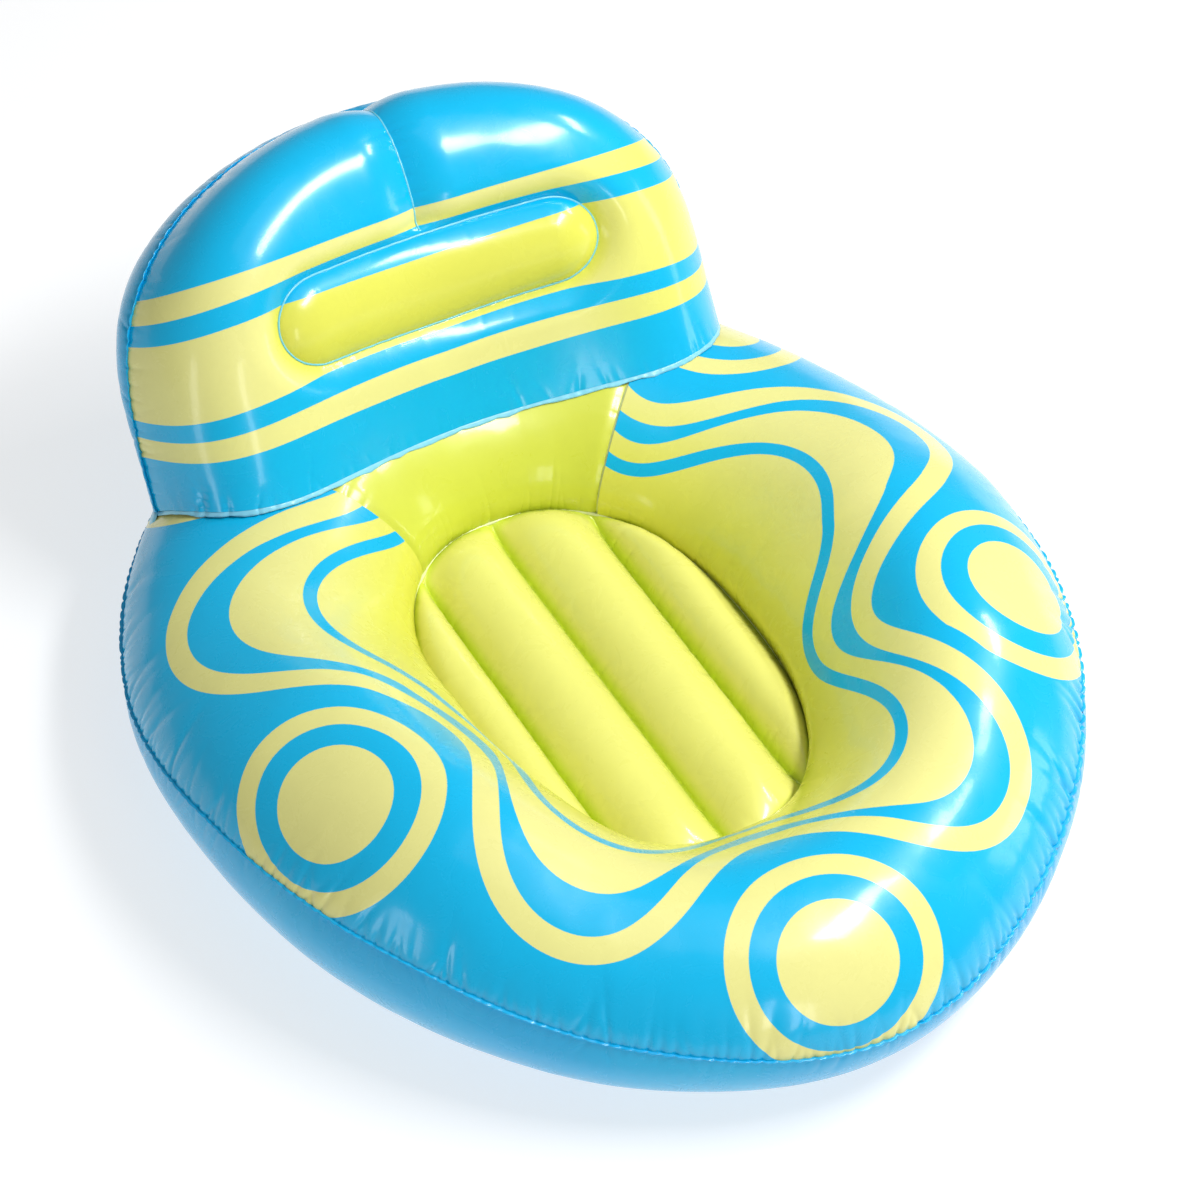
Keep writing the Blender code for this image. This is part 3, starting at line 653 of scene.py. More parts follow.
# lime rear inner wall, between the two upright welds
n_w, m_w = 420 // q, 70 // q
tw = np.linspace(REAR_FROM, REAR_TO, n_w)
stw = station(tw)
ph_w, len_w = rows_by_length(stw, np.full(n_w, REAR_TOP + 0.001), inner_phi(stw), np.array([0.0]), m_w)
P_w = fill_in(ring_point(stw, ph_w), stw, ph_w, inner_phi(stw))
N_w = grid_normals(P_w)
if float((N_w[n_w // 2, 5] * np.array([0, -1.0, 0.2])).sum()) < 0:
    N_w = -N_w
sw = np.interp(tw, _t, _s)
S_w = np.repeat(sw[:, None], P_w.shape[1], 1)
mid_w = P_w[:, P_w.shape[1] // 2]
along_w = np.repeat(arc(mid_w)[:, None], P_w.shape[1], 1)
side_w = np.minimum(along_w, along_w[-1, 0] - along_w)
low_w = len_w[:, -1:] - len_w
disp_w = fold_field(S_w, low_w, make_folds(RING_TOTAL, (0.028, 0.07), (0.0004, 0.0011), (0.003, 0.006), (0.02, 0.045), 21), None, 0.05) * smooth(low_w / 0.004)
disp_w += fold_field(S_w, len_w, make_folds(RING_TOTAL, (0.02, 0.05), (0.0004, 0.0012), (0.002, 0.004), (0.012, 0.03), 22), None)
disp_w += fold_field(len_w, side_w, make_folds(0.4, (0.013, 0.03), (0.0005, 0.0013), (0.0016, 0.003), (0.01, 0.022), 23), None)
ease_w = smooth(side_w / 0.02) * smooth(low_w / 0.02)
disp_w += (0.0016 * noise3(P_w, 0.10, 2.0) + 0.0004 * noise3(P_w, 0.035, 3.0)) * ease_w
disp_w += -0.0035 * np.exp(-(side_w / 0.009) ** 2)
wall = mesh_piece("rear_wall_skin", P_w + N_w * disp_w[..., None], grid_quads(n_w, P_w.shape[1]),
                  print_film("lime_wall", "print_sd", LIME, WALL_TOP, WALL_LOW, "inner", rough=0.30),
                  {"print_sd": np.ones(P_w.shape[:2]), "inner": 0.8 * smooth(len_w / len_w[:, -1:])})
own(wall, "root", "lime_film", "ring_rear_inner_panel", pad=1.0)

# plain blue under sheet
ph_c, len_c = rows_by_length(ST, ST["wa"], f_in - 2 * pi, _fine, 44 // q)
P_c = fill_in(ring_point(ST, ph_c), ST, ph_c + 2 * pi * (ph_c < 0), f_in)
N_c = grid_normals(P_c, True)
if float((N_c[0, len(_fine) + 6] * np.array([0, 0, -1.0])).sum()) < 0:
    N_c = -N_c
S_c = np.repeat(ring_s[:, None], P_c.shape[1], 1)
in_c = len_c[:, -1:] - len_c
disp_c = fold_field(S_c, len_c, make_folds(RING_TOTAL, (0.012, 0.028), (0.0010, 0.0020), (0.0016, 0.003), (0.012, 0.026), 31, seam_strength), RING_TOTAL)
disp_c += fold_field(S_c, in_c, IN_FOLDS, RING_TOTAL, widen=0.05) * smooth(in_c / 0.004)
lift = smooth((P_c[..., 2] - 0.002) / 0.03)
disp_c += (0.0010 * noise3(P_c, 0.10, 8.0) + 0.0003 * noise3(P_c, 0.035, 9.0)) * lift * smooth(len_c / 0.03) * smooth(in_c / 0.03)
P_c = P_c + N_c * (disp_c * np.minimum(1, lift + 0.15))[..., None]
P_c[..., 2] = np.maximum(P_c[..., 2], 0.0002)


# ================================================================= valve places
def valve_frame(prefix):
    fl = frame["nodes"][prefix + "_valve_flange"]
    v = np.array([x.co for x in fl.data.vertices], float)
    joints = {j["name"]: j for j in frame["joints"]}
    n = -unit(np.array(joints[prefix + "_valve_push"]["axis"], float))
    ey = unit(np.array(joints[prefix + "_flap_swing"]["axis"], float))
    c = v.mean(0)
    c = c + n * (float((v @ n).max()) - 0.0020 - float(c @ n))
    pin = np.array(joints[prefix + "_plug_swing"]["pos_m"], float)
    ex = unit(c - pin - n * float((c - pin) @ n))
    ey = np.cross(n, ex)
    c = c + np.array([0, PLAN_SHIFT, 0])
    return c, ex, ey, n


VALVES = {p: valve_frame(p) for p in ("ring", "floor", "backrest")}


def seat_valve(P, prefix, flat=0.019, fade=0.042):
    """the film lies flat under a valve's flange"""
    c, ex, ey, n = VALVES[prefix]
    d = P - c
    h = d @ n
    r = np.linalg.norm(d - h[..., None] * n, axis=-1)
    w = 1 - smooth((r - flat) / (fade - flat))
    w = np.where(np.abs(h) < 0.03, w, 0)
    return P - n * (h * w)[..., None], np.where(np.abs(h) < 0.03, r, 1.0)


P_c, r_c = seat_valve(P_c, "ring")
_qf = grid_quads(N_RING, P_c.shape[1], True, flip=True)
_rc = r_c.reshape(-1)[_qf].min(1)
ring_low = mesh_piece("ring_bottom_skin", P_c, _qf[_rc > 0.0068], MAT_BLUE)
own(ring_low, "root", "blue_film", "ring_bottom_panel", pad=1.0)


# ================================================================= weld strips and beads
def ribbon(name, line, out, width, mat, body, slot, thick=0.0009, closed=False, wave=0.0, seed=1, rows=4, nodes=()):
    """thin flat strip that stands out from a seam, with a slightly wavy free edge; a closed solid"""
    r = np.random.default_rng(seed)
    n = len(line)
    s = arc(line)
    up = unit(np.cross(np.roll(line, -1, 0) - np.roll(line, 1, 0), out)) if closed else unit(np.cross(np.gradient(line, axis=0), out))
    w = width * (1 + 0.16 * np.interp(s, np.linspace(0, s[-1], 60), r.normal(0, 1, 60).clip(-1.5, 1.5)))
    if closed:
        w[-1] = w[0]
    phase = np.cumsum(r.uniform(0.6, 1.4, n)) * (s[-1] / n) * 2 * pi / 0.017
    wob = np.sin(phase) * wave
    secs = []
    for k in range(rows):
        f = k / (rows - 1)
        c = line + out * (w * f)[:, None] + up * (wob * f * f)[:, None]
        secs.append(c)
    top = [c + up * thick / 2 for c in secs]
    low = [c - up * thick / 2 for c in reversed(secs)]
    P = np.stack(top + low, 1)
    m = P.shape[1]
    P2 = np.concatenate([P, P[:, :1]], 1)
    f = []
    i = np.arange(n if closed else n - 1)
    for j in range(m):
        j2 = (j + 1) % m
        k = (i + 1) % n
        f.append(np.stack([i * m + j, k * m + j, k * m + j2, i * m + j2], 1))
    f = np.concatenate(f)
    ob = mesh_piece(name, P, f, mat)
    if not closed:
        me = ob.data
        bm = bmesh.new()
        bm.from_mesh(me)
        bmesh.ops.holes_fill(bm, edges=[e for e in bm.edges if e.is_boundary], sides=m + 1)
        bmesh.ops.recalc_face_normals(bm, faces=bm.faces)
        bm.to_mesh(me)
        bm.free()
    return own(ob, body, slot, *nodes)


def bead(name, line, side, up, radius, mat, body, slot, flat=0.55, closed=False, sides=8, nodes=()):
    """soft raised or sunk bead along a weld; side and up are unit vectors per point"""
    n = len(line)
    a = 2 * pi * np.arange(sides) / sides
    rad = radius if np.ndim(radius) else np.full(n, radius)
    P = line[:, None, :] + side[:, None, :] * (rad[:, None] * np.cos(a))[..., None] + up[:, None, :] * (rad[:, None] * flat * np.sin(a))[..., None]
    i = np.arange(n if closed else n - 1)
    f = []
    for j in range(sides):
        j2 = (j + 1) % sides
        k = (i + 1) % n
        f.append(np.stack([i * sides + j, k * sides + j, k * sides + j2, i * sides + j2], 1))
    f = np.concatenate(f)
    ob = mesh_piece(name, P, f, mat)
    if not closed:
        bm = bmesh.new()
        bm.from_mesh(ob.data)
        bmesh.ops.holes_fill(bm, edges=[e for e in bm.edges if e.is_boundary], sides=sides + 1)
        bmesh.ops.recalc_face_normals(bm, faces=bm.faces)
        bm.to_mesh(ob.data)
        bm.free()
    return own(ob, body, slot, *nodes)


out_dir = np.concatenate([ST["u"], np.zeros((N_RING, 1))], 1)
ribbon("ring_outer_weld", P_ring[:, 0] - out_dir * 0.0008, out_dir, 0.0042, MAT_WELD_BLUE, "root", "blue_film", closed=True, wave=0.0006, seed=41)

# ================================================================= seat floor
def outline_y(x, grow=0.0):
    a, b = FLOOR_A + grow, FLOOR_B + grow
    return b * np.maximum(0.0, 1 - np.minimum(1.0, np.abs(x) / a) ** FLOOR_POWER) ** (1 / FLOOR_POWER)


def floor_skin(name, edge, valley, crest, mat, body_nodes, slot, up):
    bounds = (-FLOOR_A,) + FLOOR_WEBS + (FLOOR_A,)
    per = 44 // q
    xs = []
    for k in range(4):
        t = (1 - np.cos(pi * np.arange(per) / per)) / 2
        t = 0.55 * t + 0.45 * np.arange(per) / per
        xs += list(bounds[k] + (bounds[k + 1] - bounds[k]) * t)
    xs = np.array(xs + [FLOOR_A])
    xs = np.clip(xs, -FLOOR_A * 0.9995, FLOOR_A * 0.9995)
    m = 260 // q
    t = np.linspace(-1, 1, m)
    t = 0.72 * t + 0.28 * np.sin(t * pi / 2)
    X, T = np.meshgrid(xs, t, indexing="ij")
    Y = FLOOR_CY + T * outline_y(X)
    Z = np.full_like(X, edge)
    near_seam = np.full_like(X, 1.0)
    for k in range(4):
        m_ = (X >= bounds[k] - 1e-9) & (X <= bounds[k + 1] + 1e-9)
        c, hw = (bounds[k] + bounds[k + 1]) / 2, (bounds[k + 1] - bounds[k]) / 2
        s = np.clip((X - c) / hw, -1, 1)
        lo, hi = (edge if k == 0 else valley), (edge if k == 3 else valley)
        base = lo + (hi - lo) * (s + 1) / 2
        z = base + (crest - base) * np.maximum(0.0, 1 - np.abs(s) ** 2.0) ** 0.78
        Z = np.where(m_, z, Z)
    for b in FLOOR_WEBS:
        near_seam = np.minimum(near_seam, np.abs(X - b))
    oy = outline_y(X)
    d = np.minimum(oy - np.abs(Y - FLOOR_CY), (FLOOR_A - np.abs(X)) * 1.0)
    # the channels' ends round off over a long way, the two long sides quickly
    end = np.clip((oy - np.abs(Y - FLOOR_CY)) / 0.080, 0, 1)
    flank = np.clip((FLOOR_A - np.abs(X)) / 0.030, 0, 1)
    Z = edge + (Z - edge) * (1 - (1 - end) ** 2.2) ** 0.62 * (1 - (1 - flank) ** 2.0) ** 0.55
    P = np.stack([X, Y, Z], -1)
    N = grid_normals(P)
    if N[per * 2 + per // 2, m // 2, 2] * up < 0:
        N = -N
    run = Y - Y.min()
    disp = np.zeros_like(Z)
    for k, b in enumerate(FLOOR_WEBS):
        sel = np.abs(X - b)
        disp += fold_field(run, sel, make_folds(0.6, (0.014, 0.034), (0.0003, 0.0010), (0.0018, 0.0035), (0.008, 0.018), 51 + k), None)
    rim_s = np.arctan2(Y - FLOOR_CY, X) * 0.25 + 1.0
    disp += fold_field(rim_s, np.maximum(d, 0), make_folds(2.0, (0.02, 0.05), (0.0005, 0.0014), (0.002, 0.004), (0.012, 0.028), 55), None) * smooth(d / 0.004)
    ease = smooth(d / 0.03) * smooth(near_seam / 0.01)
    disp += (0.0008 * noise3(P, 0.07, 4.0) + 0.0003 * noise3(P, 0.025, 6.0)) * ease
    P = P + N * disp[..., None]
    # painted shade: the floor's lime deepens to LIME_DEEP along the seams between the channels and round the rim by the
    # ring's wall
    attrs = {"inner": 0.75 * (1 - smooth(near_seam / 0.012) * smooth(d / 0.018))}
    faces = grid_quads(len(xs), m, False, flip=up < 0)
    return P, faces, attrs


P_f, faces_f, attrs_f = floor_skin("floor_top_skin", FLOOR_EDGE_Z + 0.0036, 0.0797, 0.1240, None, None, None, 1)
floor_mat = print_film("lime_floor_film", "print_sd", LIME, LIME_PALE, LIME_DEEP, "inner", rough=0.28)
floor_top = mesh_piece("floor_top_skin", P_f, faces_f, floor_mat,
                       {"print_sd": np.ones(P_f.shape[:2]), "inner": attrs_f["inner"]})
own(floor_top, "root", "lime_film", "floor_top_panel", pad=1.0)
P_g, faces_g, attrs_g = floor_skin("floor_bottom_skin", FLOOR_EDGE_Z + 0.0018, 0.0565, 0.0285, None, None, None, -1)
P_g, r_g = seat_valve(P_g, "floor", 0.018, 0.034)
_rg = r_g.reshape(-1)[faces_g].min(1)
floor_low = mesh_piece("floor_bottom_skin", P_g, faces_g[_rg > 0.0068], MAT_BLUE)
own(floor_low, "root", "blue_film", "floor_bottom_panel", pad=1.0)

# inner weld where ring and floor meet
n_i = 1200 // q
ti = 2 * pi * np.arange(n_i) / n_i
sti = station(ti)
line_i = np.concatenate([sti["q"] + sti["u"] * 0.0015, np.full((n_i, 1), FLOOR_EDGE_Z + 0.0022)], 1)
side_i = np.concatenate([sti["u"], np.zeros((n_i, 1))], 1)
up_i = np.tile([0.0, 0.0, 1.0], (n_i, 1))
bead("floor_rim_weld", line_i, side_i, up_i, 0.0030, MAT_BEAD_LIME, "root", "lime_film", flat=0.8, closed=True)

# ================================================================= backrest
NU, NB = 440 // q, 260 // q
a_ = -1 + 2 * np.arange(NU + 1) / NU
a_ = 0.45 * a_ + 0.55 * np.sin(a_ * pi / 2)
b_ = np.arange(NB + 1) / NB
A, B = np.meshgrid(a_, b_, indexing="ij")
_px, _pz = A * np.sqrt(1 - B * B / 2), B * np.sqrt(1 - A * A / 2)
_rho, _psi = np.hypot(_px, _pz), np.arctan2(_pz, _px)
_r = (np.abs(np.cos(_psi)) ** BACK_POWER + np.abs(np.sin(_psi)) ** BACK_POWER) ** (-1 / BACK_POWER)
XB = BACK_HALF_W * _rho * _r * np.cos(_psi)
ZB = BACK_BASE_Z + BACK_RISE * _rho * _r * np.sin(_psi)


def settle(P, shape):
    """the lower edge comes down onto the ring"""
    foot = shape(XB[:, 0], np.full(NU + 1, BACK_BASE_Z))
    drop = ring_top_z(foot[:, 0], foot[:, 1]) + 0.0030 + 0.0070 * a_ ** 4 - foot[:, 2]
    P = P.copy()
    P[..., 2] += drop[:, None] * (1 - B) ** 3
    low = int(0.55 * NB)
    top = ring_top_z(P[:, 1:low, 0], P[:, 1:low, 1]) + 0.004
    P[:, 1:low, 2] = np.maximum(P[:, 1:low, 2], top)
    return P


P_bf = settle(back_front(XB, ZB), back_front)
P_br = settle(back_rear(XB, ZB), back_rear)
N_bf, N_br = grid_normals(P_bf), grid_normals(P_br)
if N_bf[NU // 2, NB // 2, 1] > 0:
    N_bf = -N_bf
if N_br[NU // 2, NB // 2, 1] < 0:
    N_br = -N_br

# edge of the backrest: up the left side, over the top, down the right side
edge_line = np.concatenate([P_bf[0, :], P_bf[1:, NB], P_bf[NU, NB - 1::-1]])
base_line = P_bf[:, 0]
s_e, d_e = nearest(edge_line, P_bf)
s_b, d_b = nearest(base_line, P_bf)
EDGE_TOTAL = float(arc(edge_line)[-1])

# headrest: a stadium outline held back by an inner loop of film
XH = 0.89 * XB
YH = 1.82 * (ZB - (0.3105 + 0.225 * XB ** 2))
sd_h = np.hypot(np.maximum(np.abs(XH) - 0.157, 0), YH) - 0.059
depth_h = 0.0165 + 0.008 * smooth((XB + 0.05) / 0.28)
outside = -depth_h * (1 - np.minimum(np.maximum(sd_h, 0) / 0.050, 1)) ** 2
s_in = np.clip(-sd_h / 0.059, 0, 1)
inside = -depth_h + (depth_h + 0.003) * np.maximum(0, 1 - (1 - s_in) ** 2) ** 0.72
disp_h = np.where(sd_h > 0, outside, inside)
# short upright weld above it
in_run = smooth((ZB - 0.340) / 0.012)
disp_c1 = -0.017 * (1 - np.minimum(np.abs(XB) / 0.062, 1)) ** 2 * in_run * (1 - 0.35 * smooth((ZB - 0.43) / 0.04))
disp_b = np.minimum(disp_h, 0.003) + disp_c1 * smooth((sd_h + 0.01) / 0.03)

edge_folds = make_folds(EDGE_TOTAL, (0.010, 0.022), (0.0007, 0.0019), (0.0015, 0.0030), (0.010, 0.026), 61)
disp_b += fold_field(s_e, d_e, edge_folds, None)
base_folds = make_folds(0.95, (0.014, 0.038), (0.0007, 0.0019), (0.0020, 0.0040), (0.012, 0.030), 62,
                        lambda s: 0.42 + 1.1 * math.exp(-((s - 0.09) / 0.10) ** 2))
disp_b += fold_field(s_b, d_b, base_folds, None)
# small folds across the headrest weld and the upright weld
ang_h = np.arctan2(YH, XH - np.clip(XH, -0.157, 0.157))
run_h = np.where(np.abs(XH) < 0.157, np.where(YH > 0, XH, 1.2 - XH), np.where(XH > 0, 0.157 + (pi / 2 - ang_h) * 0.059, 2.0 + ang_h * 0.059))
disp_b += fold_field(run_h, np.abs(sd_h), make_folds(3.2, (0.018, 0.045), (0.0002, 0.0006), (0.0020, 0.0040), (0.008, 0.018), 63), None) * smooth(np.abs(sd_h) / 0.002)
disp_b += fold_field(ZB * 1.6, np.abs(XB) + 0.05 * (ZB < 0.34), make_folds(0.9, (0.014, 0.03), (0.0004, 0.0012), (0.0016, 0.003), (0.008, 0.02), 64), None) * in_run
ease_b = smooth(d_e / 0.03) * smooth(d_b / 0.03) * smooth(np.abs(sd_h) / 0.01)
disp_b += (0.0014 * noise3(P_bf, 0.12, 1.0) + 0.00022 * noise3(P_bf, 0.04, 2.0)) * ease_b

P_front = P_bf + N_bf * disp_b[..., None]
top_f = ring_top_z(P_front[..., 0], P_front[..., 1])
P_front[:, 1:, 2] = np.where((B[:, 1:] < 0.55), np.maximum(P_front[:, 1:, 2], top_f[:, 1:] + 0.0025), P_front[:, 1:, 2])

# stripes
x2, x4 = XB ** 2, XB ** 4


def stripe(lo, hi):
    return np.minimum(ZB - lo, hi - ZB)


sd_s = stripe(0.349 + 0.22 * x2 + 0.1 * x4, 0.363 + 0.25 * x2 + 0.5 * x4)
sd_s = np.maximum(sd_s, stripe(0.273 + 0.24 * x2 - 0.9 * x4, 0.329 + 0.30 * x2 - 0.5 * x4))
sd_s = np.maximum(sd_s, stripe(0.240 + 0.19 * x2 - 0.75 * x4, 0.2585 + 0.20 * x2 - 0.75 * x4))
sd_s = sd_s * 1.6
# the yellow stripes deepen to LIME_RICH in and round the headrest pillow, the pillow's own lime tone, and towards the
# right side, which is painted shade
pillow_tone_and_side_shade = np.maximum(0.85 * smooth(1 - np.maximum(sd_h, 0) / 0.030), 0.55 * smooth((XB - 0.12) / 0.22))
back_front_ob = mesh_piece("backrest_front_skin", P_front, grid_quads(NU + 1, NB + 1), MAT_BACK,
                           {"print_sd": sd_s, "inner": pillow_tone_and_side_shade})
own(back_front_ob, "root", "stripe_film", "backrest_front_panel", pad=1.0)

s_er, d_er = nearest(edge_line, P_br)
s_br, d_br = nearest(P_br[:, 0], P_br)
disp_r = fold_field(s_er, d_er, make_folds(EDGE_TOTAL, (0.012, 0.026), (0.0008, 0.0017), (0.0015, 0.0028), (0.012, 0.026), 65), None)
disp_r += fold_field(s_br, d_br, make_folds(1.2, (0.014, 0.035), (0.0006, 0.0016), (0.0018, 0.0036), (0.012, 0.030), 66), None)
groove_r = -0.0085 * (1 - np.minimum(np.abs(sd_h) / 0.030, 1)) ** 2
groove_r += -0.0085 * (1 - np.minimum(np.abs(XB) / 0.040, 1)) ** 2 * in_run * (1 - smooth((ZB - 0.43) / 0.02)) * (sd_h > 0.012)
disp_r += groove_r * smooth(d_er / 0.03)
disp_r += (0.0012 * noise3(P_br, 0.11, 11.0) + 0.0003 * noise3(P_br, 0.04, 12.0)) * smooth(d_er / 0.03) * smooth(d_br / 0.03)
P_rear = P_br + N_br * disp_r[..., None]
P_rear[0, :], P_rear[NU, :], P_rear[:, NB] = P_front[0, :], P_front[NU, :], P_front[:, NB]
P_rear, r_v = seat_valve(P_rear, "backrest")
faces_r = grid_quads(NU + 1, NB + 1, flip=True)
_rr = r_v.reshape(-1)[faces_r].min(1)
back_rear_ob = mesh_piece("backrest_rear_skin", P_rear, faces_r[_rr > 0.0068], MAT_BLUE)
own(back_rear_ob, "root", "blue_film", "backrest_rear_panel", pad=1.0)

# outer weld strip of the backrest
edge_now = np.concatenate([P_front[0, :], P_front[1:, NB], P_front[NU, NB - 1::-1]])
tan_e = unit(np.gradient(edge_now, axis=0))
mid_point = np.array([0.0, 0.55, 0.33])
xe = np.concatenate([XB[0, :], XB[1:, NB], XB[NU, NB - 1::-1]])
ze = np.concatenate([ZB[0, :], ZB[1:, NB], ZB[NU, NB - 1::-1]])
e_ = 1e-4
fx = (back_mid(xe + e_, ze)[:, 1] - back_mid(xe - e_, ze)[:, 1]) / (2 * e_)
fz = (back_mid(xe, ze + e_)[:, 1] - back_mid(xe, ze - e_)[:, 1]) / (2 * e_)
plane_n = unit(np.stack([-fx, np.ones_like(fx), -fz], -1))
out_e = unit(np.cross(tan_e, plane_n))
if float((out_e * (edge_now - mid_point)).sum()) < 0:
    out_e = -out_e
ribbon("backrest_outer_weld", edge_now - out_e * 0.0006, out_e, 0.0040, MAT_WELD_BLUE, "root", "blue_film", wave=0.0006, seed=42)

# translucent weld flange along the foot of the backrest, front and rear
for nm, foot, sgn, wd, seed in (("backrest_base_weld_front", P_front[:, 0], -1, 0.0046, 43), ("backrest_base_weld_rear", P_rear[:, 0], 1, 0.0060, 44)):
    t_ = unit(np.gradient(foot, axis=0))
    o_ = np.cross(t_, np.array([0, 0, 1.0]))
    o_ = unit(o_ * np.sign((o_ @ np.array([0, 1.0, 0])).mean()) * sgn)
    zz = ring_top_z(foot[:, 0] + o_[:, 0] * wd, foot[:, 1] + o_[:, 1] * wd) + 0.0016
    dirv = np.stack([o_[:, 0] * wd, o_[:, 1] * wd, zz - foot[:, 2]], -1)
    ribbon(nm, foot - o_ * 0.001, unit(dirv), np.linalg.norm(dirv, axis=1).mean(), MAT_FLANGE, "root", "clear_film", wave=0.0004, seed=seed)


def sample_grid(P, X, Z, xs, zs):
    """points and normals of the front skin over given places of its mid surface"""
    tree = kdtree.KDTree(X.size)
    for k, (x, z) in enumerate(zip(X.ravel(), Z.ravel())):
        tree.insert((x, z, 0), k)
    tree.balance()
    Nn = grid_normals(P)
    if Nn[NU // 2, NB // 2, 1] > 0:
        Nn = -Nn
    out, nn = [], []
    flatP, flatN = P.reshape(-1, 3), Nn.reshape(-1, 3)
    for x, z in zip(xs, zs):
        hits = tree.find_n((x, z, 0), 4)
        w = np.array([1 / (h[2] + 1e-5) for h in hits])
        w /= w.sum()
        idx = [h[1] for h in hits]
        out.append((flatP[idx] * w[:, None]).sum(0))
        nn.append((flatN[idx] * w[:, None]).sum(0))
    return np.array(out), unit(np.array(nn))


# headrest loop: bead at the bottom of its groove and the inner loop of film behind it
n_h = 420 // q
per = 2 * 0.314 + 2 * pi * 0.059
sv = per * np.arange(n_h) / n_h
hx, hy = [], []
for s_ in sv:
    if s_ < 0.314:
        hx.append(-0.157 + s_), hy.append(0.059)
    elif s_ < 0.314 + pi * 0.059:
        g = (s_ - 0.314) / 0.059
        hx.append(0.157 + 0.059 * math.sin(g)), hy.append(0.059 * math.cos(g))
    elif s_ < 0.628 + pi * 0.059:
        hx.append(0.157 - (s_ - 0.314 - pi * 0.059)), hy.append(-0.059)
    else:
        g = (s_ - 0.628 - pi * 0.059) / 0.059
        hx.append(-0.157 - 0.059 * math.sin(g)), hy.append(-0.059 * math.cos(g))
hx, hy = np.array(hx) / 0.89, np.array(hy)
hz = hy / 1.82 + 0.3105 + 0.225 * hx ** 2


def smooth_loop(L, times=3):
    for _ in range(times):
        L = (np.roll(L, 1, 0) + 2 * L + np.roll(L, -1, 0)) / 4
    return L


loop, loop_n = sample_grid(P_front, XB, ZB, hx, hz)
loop, loop_n = smooth_loop(loop), unit(smooth_loop(loop_n, 6))
t_l = unit(np.roll(loop, -1, 0) - np.roll(loop, 1, 0))
bead("headrest_weld", loop + loop_n * 0.0004, unit(np.cross(t_l, loop_n)), loop_n, 0.0013, MAT_BEAD, "root", "clear_film", flat=0.7, closed=True)
rear_loop = back_rear(hx, hz)
rear_dir = unit(rear_loop - loop)
k_ = np.linspace(0, 1, 9)
far = np.linalg.norm(rear_loop - loop, axis=1) - 0.0115
W = (loop - loop_n * 0.0012)[:, None] + rear_dir[:, None] * (far[:, None] * k_)[..., None]
Wn = unit(np.cross(np.roll(W, -1, 0) - np.roll(W, 1, 0), np.gradient(W, axis=1)))
web = mesh_piece("headrest_loop_film", W, grid_quads(n_h, 9, True), MAT_CLEAR)
own(web, "root", "clear_film", "headrest_web")

# upright weld above the headrest
zc = np.linspace(0.346, 0.4695, 120 // q)
cl, cn = sample_grid(P_front, XB, ZB, np.zeros_like(zc), zc)
for _ in range(3):
    cl[1:-1] = (cl[:-2] + 2 * cl[1:-1] + cl[2:]) / 4
    cn[1:-1] = (cn[:-2] + 2 * cn[1:-1] + cn[2:]) / 4
cn = unit(cn)
ct = unit(np.gradient(cl, axis=0))
bead("backrest_centre_weld", cl + cn * 0.0003, unit(np.cross(ct, cn)), cn, 0.0012 * np.ones(len(cl)), MAT_BEAD, "root", "clear_film", flat=0.8)
zc2 = np.linspace(0.356, 0.430, 40)
cf, cfn = sample_grid(P_front, XB, ZB, np.zeros_like(zc2), zc2)
cr = back_rear(np.zeros_like(zc2), zc2) - np.array([0, 0.0115, 0])
W = (cf - cfn * 0.0015)[:, None] + (cr - cf)[:, None] * k_[None, :, None]
web2 = mesh_piece("backrest_centre_film", W, grid_quads(40, 9), MAT_CLEAR)
own(web2, "root", "clear_film", "backrest_centre_web")

# upright welds at the two ends of the lime wall
for nm, k_i in (("rear_wall_weld_right", 0), ("rear_wall_weld_left", -1)):
    L = P_w[k_i] + N_w[k_i] * (disp_w[k_i] + 0.0003)[:, None]
    t_ = unit(np.gradient(L, axis=0))
    nn = N_w[k_i]
    bead(nm, L, unit(np.cross(t_, nn)), nn, 0.0024, MAT_BEAD_LIME, "root", "lime_film", flat=0.6)

# ================================================================= finish of the CAD nodes that stay
def dress(name, mat):
    o = frame["nodes"][name]
    for s_ in o.material_slots:
        s_.material = mat
    if not o.material_slots:
        o.data.materials.append(mat)


for n_ in ("floor_web_left", "floor_web_centre", "floor_web_right"):
    dress(n_, MAT_CLEAR)
for p_ in ("ring", "floor", "backrest"):
    dress(p_ + "_valve_flange", MAT_VALVE)
    dress(p_ + "_valve_stem", MAT_VALVE)
    dress(p_ + "_valve_plug", MAT_WHITE)
    dress(p_ + "_valve_flap", MAT_VALVE)

# ================================================================= stage and light
me = bpy.data.meshes.new("ground")
g = 60.0
me.from_pydata([(-g, -g, -0.0004), (g, -g, -0.0004), (g, g, -0.0004), (-g, g, -0.0004)], [], [(0, 1, 2, 3)])
ground = link(bpy.data.objects.new("ground", me))
gm, gn, gl, gb = new_mat("ground_white")
gb.inputs["Base Color"].default_value = (0.44, 0.44, 0.442, 1)
gb.inputs["Emission Color"].default_value = (1.0, 1.0, 1.0, 1)
gb.inputs["Emission Strength"].default_value = 0.66
gb.inputs["Roughness"].default_value = 0.9
gb.inputs["Specular IOR Level"].default_value = 0.0
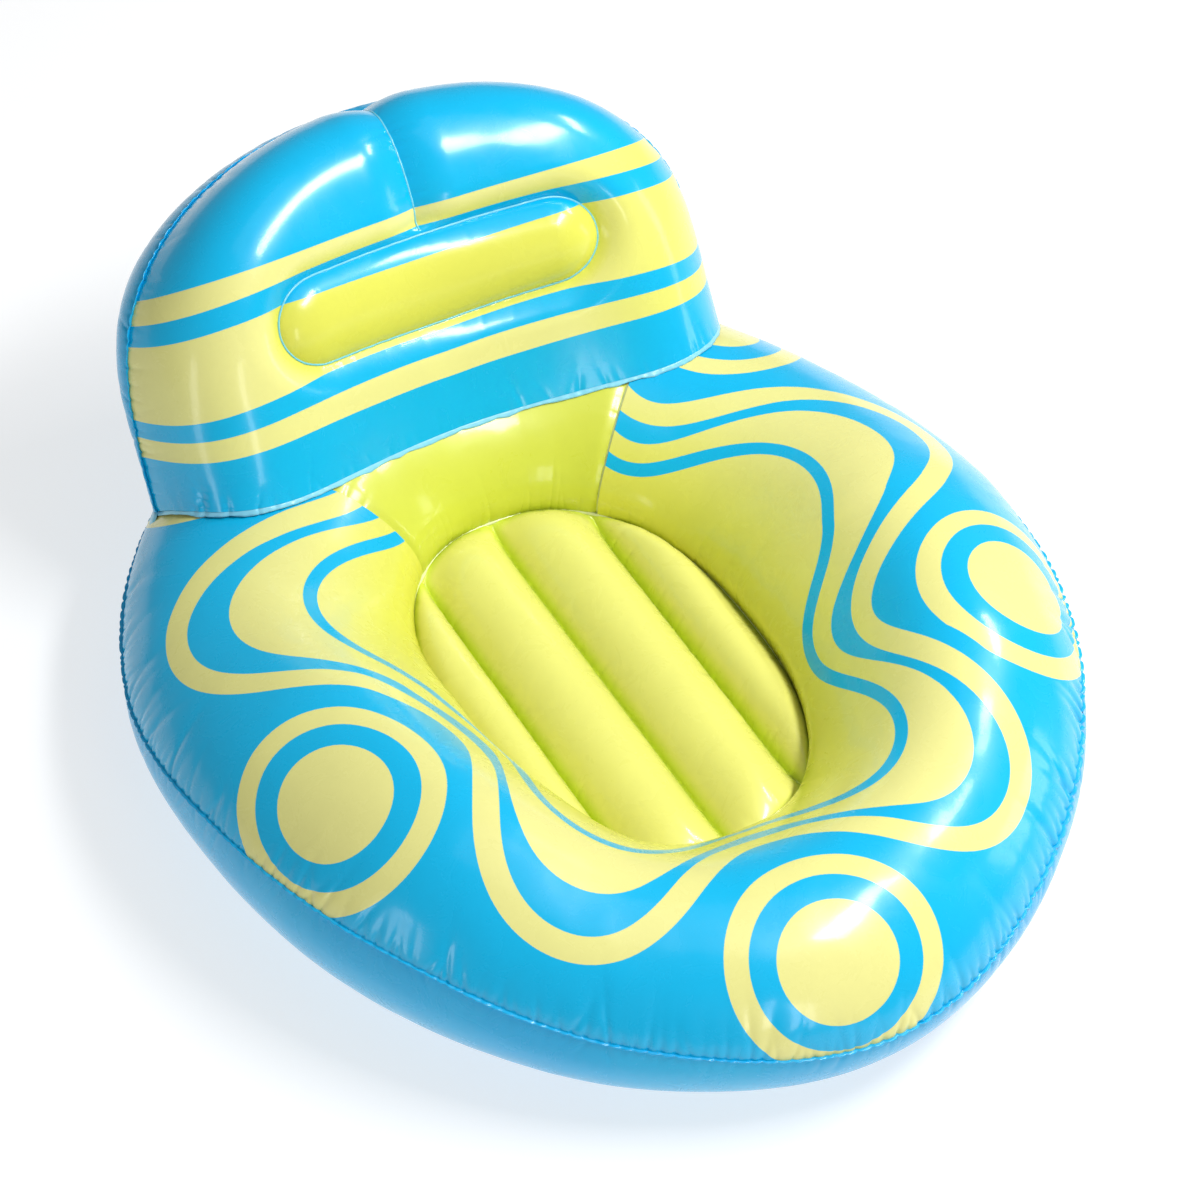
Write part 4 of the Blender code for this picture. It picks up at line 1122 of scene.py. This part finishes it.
# seen from below, the ground is clear, so that the chair's underside can be looked at
_back = gn.new("ShaderNodeNewGeometry")
_clear = gn.new("ShaderNodeBsdfTransparent")
_mix = gn.new("ShaderNodeMixShader")
gl.new(_back.outputs["Backfacing"], _mix.inputs[0])
gl.new(gb.outputs[0], _mix.inputs[1])
gl.new(_clear.outputs[0], _mix.inputs[2])
gl.new(_mix.outputs[0], gn["Material Output"].inputs["Surface"])
me.materials.append(gm)

world = bpy.data.worlds.new("studio")
bpy.context.scene.world = world
world.use_nodes = True
bg = world.node_tree.nodes["Background"]
bg.inputs["Color"].default_value = (0.94, 0.985, 1.0, 1)
bg.inputs["Strength"].default_value = 0.26
# the backdrop itself is as pale as the ground
_wn, _wl = world.node_tree.nodes, world.node_tree.links
_pale = _wn.new("ShaderNodeBackground")
_pale.inputs["Color"].default_value = (0.98, 0.99, 1.0, 1)
_pale.inputs["Strength"].default_value = 0.80
_path = _wn.new("ShaderNodeLightPath")
_wm = _wn.new("ShaderNodeMixShader")
_wl.new(_path.outputs["Is Camera Ray"], _wm.inputs[0])
_wl.new(bg.outputs[0], _wm.inputs[1])
_wl.new(_pale.outputs[0], _wm.inputs[2])
_wl.new(_wm.outputs[0], _wn["World Output"].inputs["Surface"])
bpy.context.scene.view_settings.view_transform = "Standard"
bpy.context.scene.view_settings.look = "None"
bpy.context.scene.view_settings.exposure = 0.0


def area(name, az, el, dist, sx, sy, power, rgb=(1, 1, 1), target=(0, -0.05, 0.25), roll=0.0):
    a, e = math.radians(az), math.radians(el)
    d = Vector((math.sin(a) * math.cos(e), -math.cos(a) * math.cos(e), math.sin(e)))
    L = bpy.data.lights.new(name, "AREA")
    L.shape = "RECTANGLE"
    L.size, L.size_y = sx, sy
    L.energy = power
    L.color = rgb
    o = link(bpy.data.objects.new(name, L))
    o.location = Vector(target) + d * dist
    o.rotation_mode = "QUATERNION"
    qn = d.to_track_quat("Z", "Y")
    o.rotation_quaternion = qn @ Matrix.Rotation(math.radians(roll), 4, "Z").to_quaternion()
    return o


area("key", 48, 61, 3.2, 1.65, 0.50, 90)
area("overhead", 30, 78, 3.4, 2.2, 2.2, 8)
area("arm", 94, 47, 3.2, 0.75, 0.32, 24)
area("front_strip", -8, 17, 3.4, 0.40, 1.3, 9)
area("left_strip", -73, 10, 3.2, 0.40, 1.2, 6)
area("right_low", 66, 13, 3.4, 0.45, 1.2, 7)
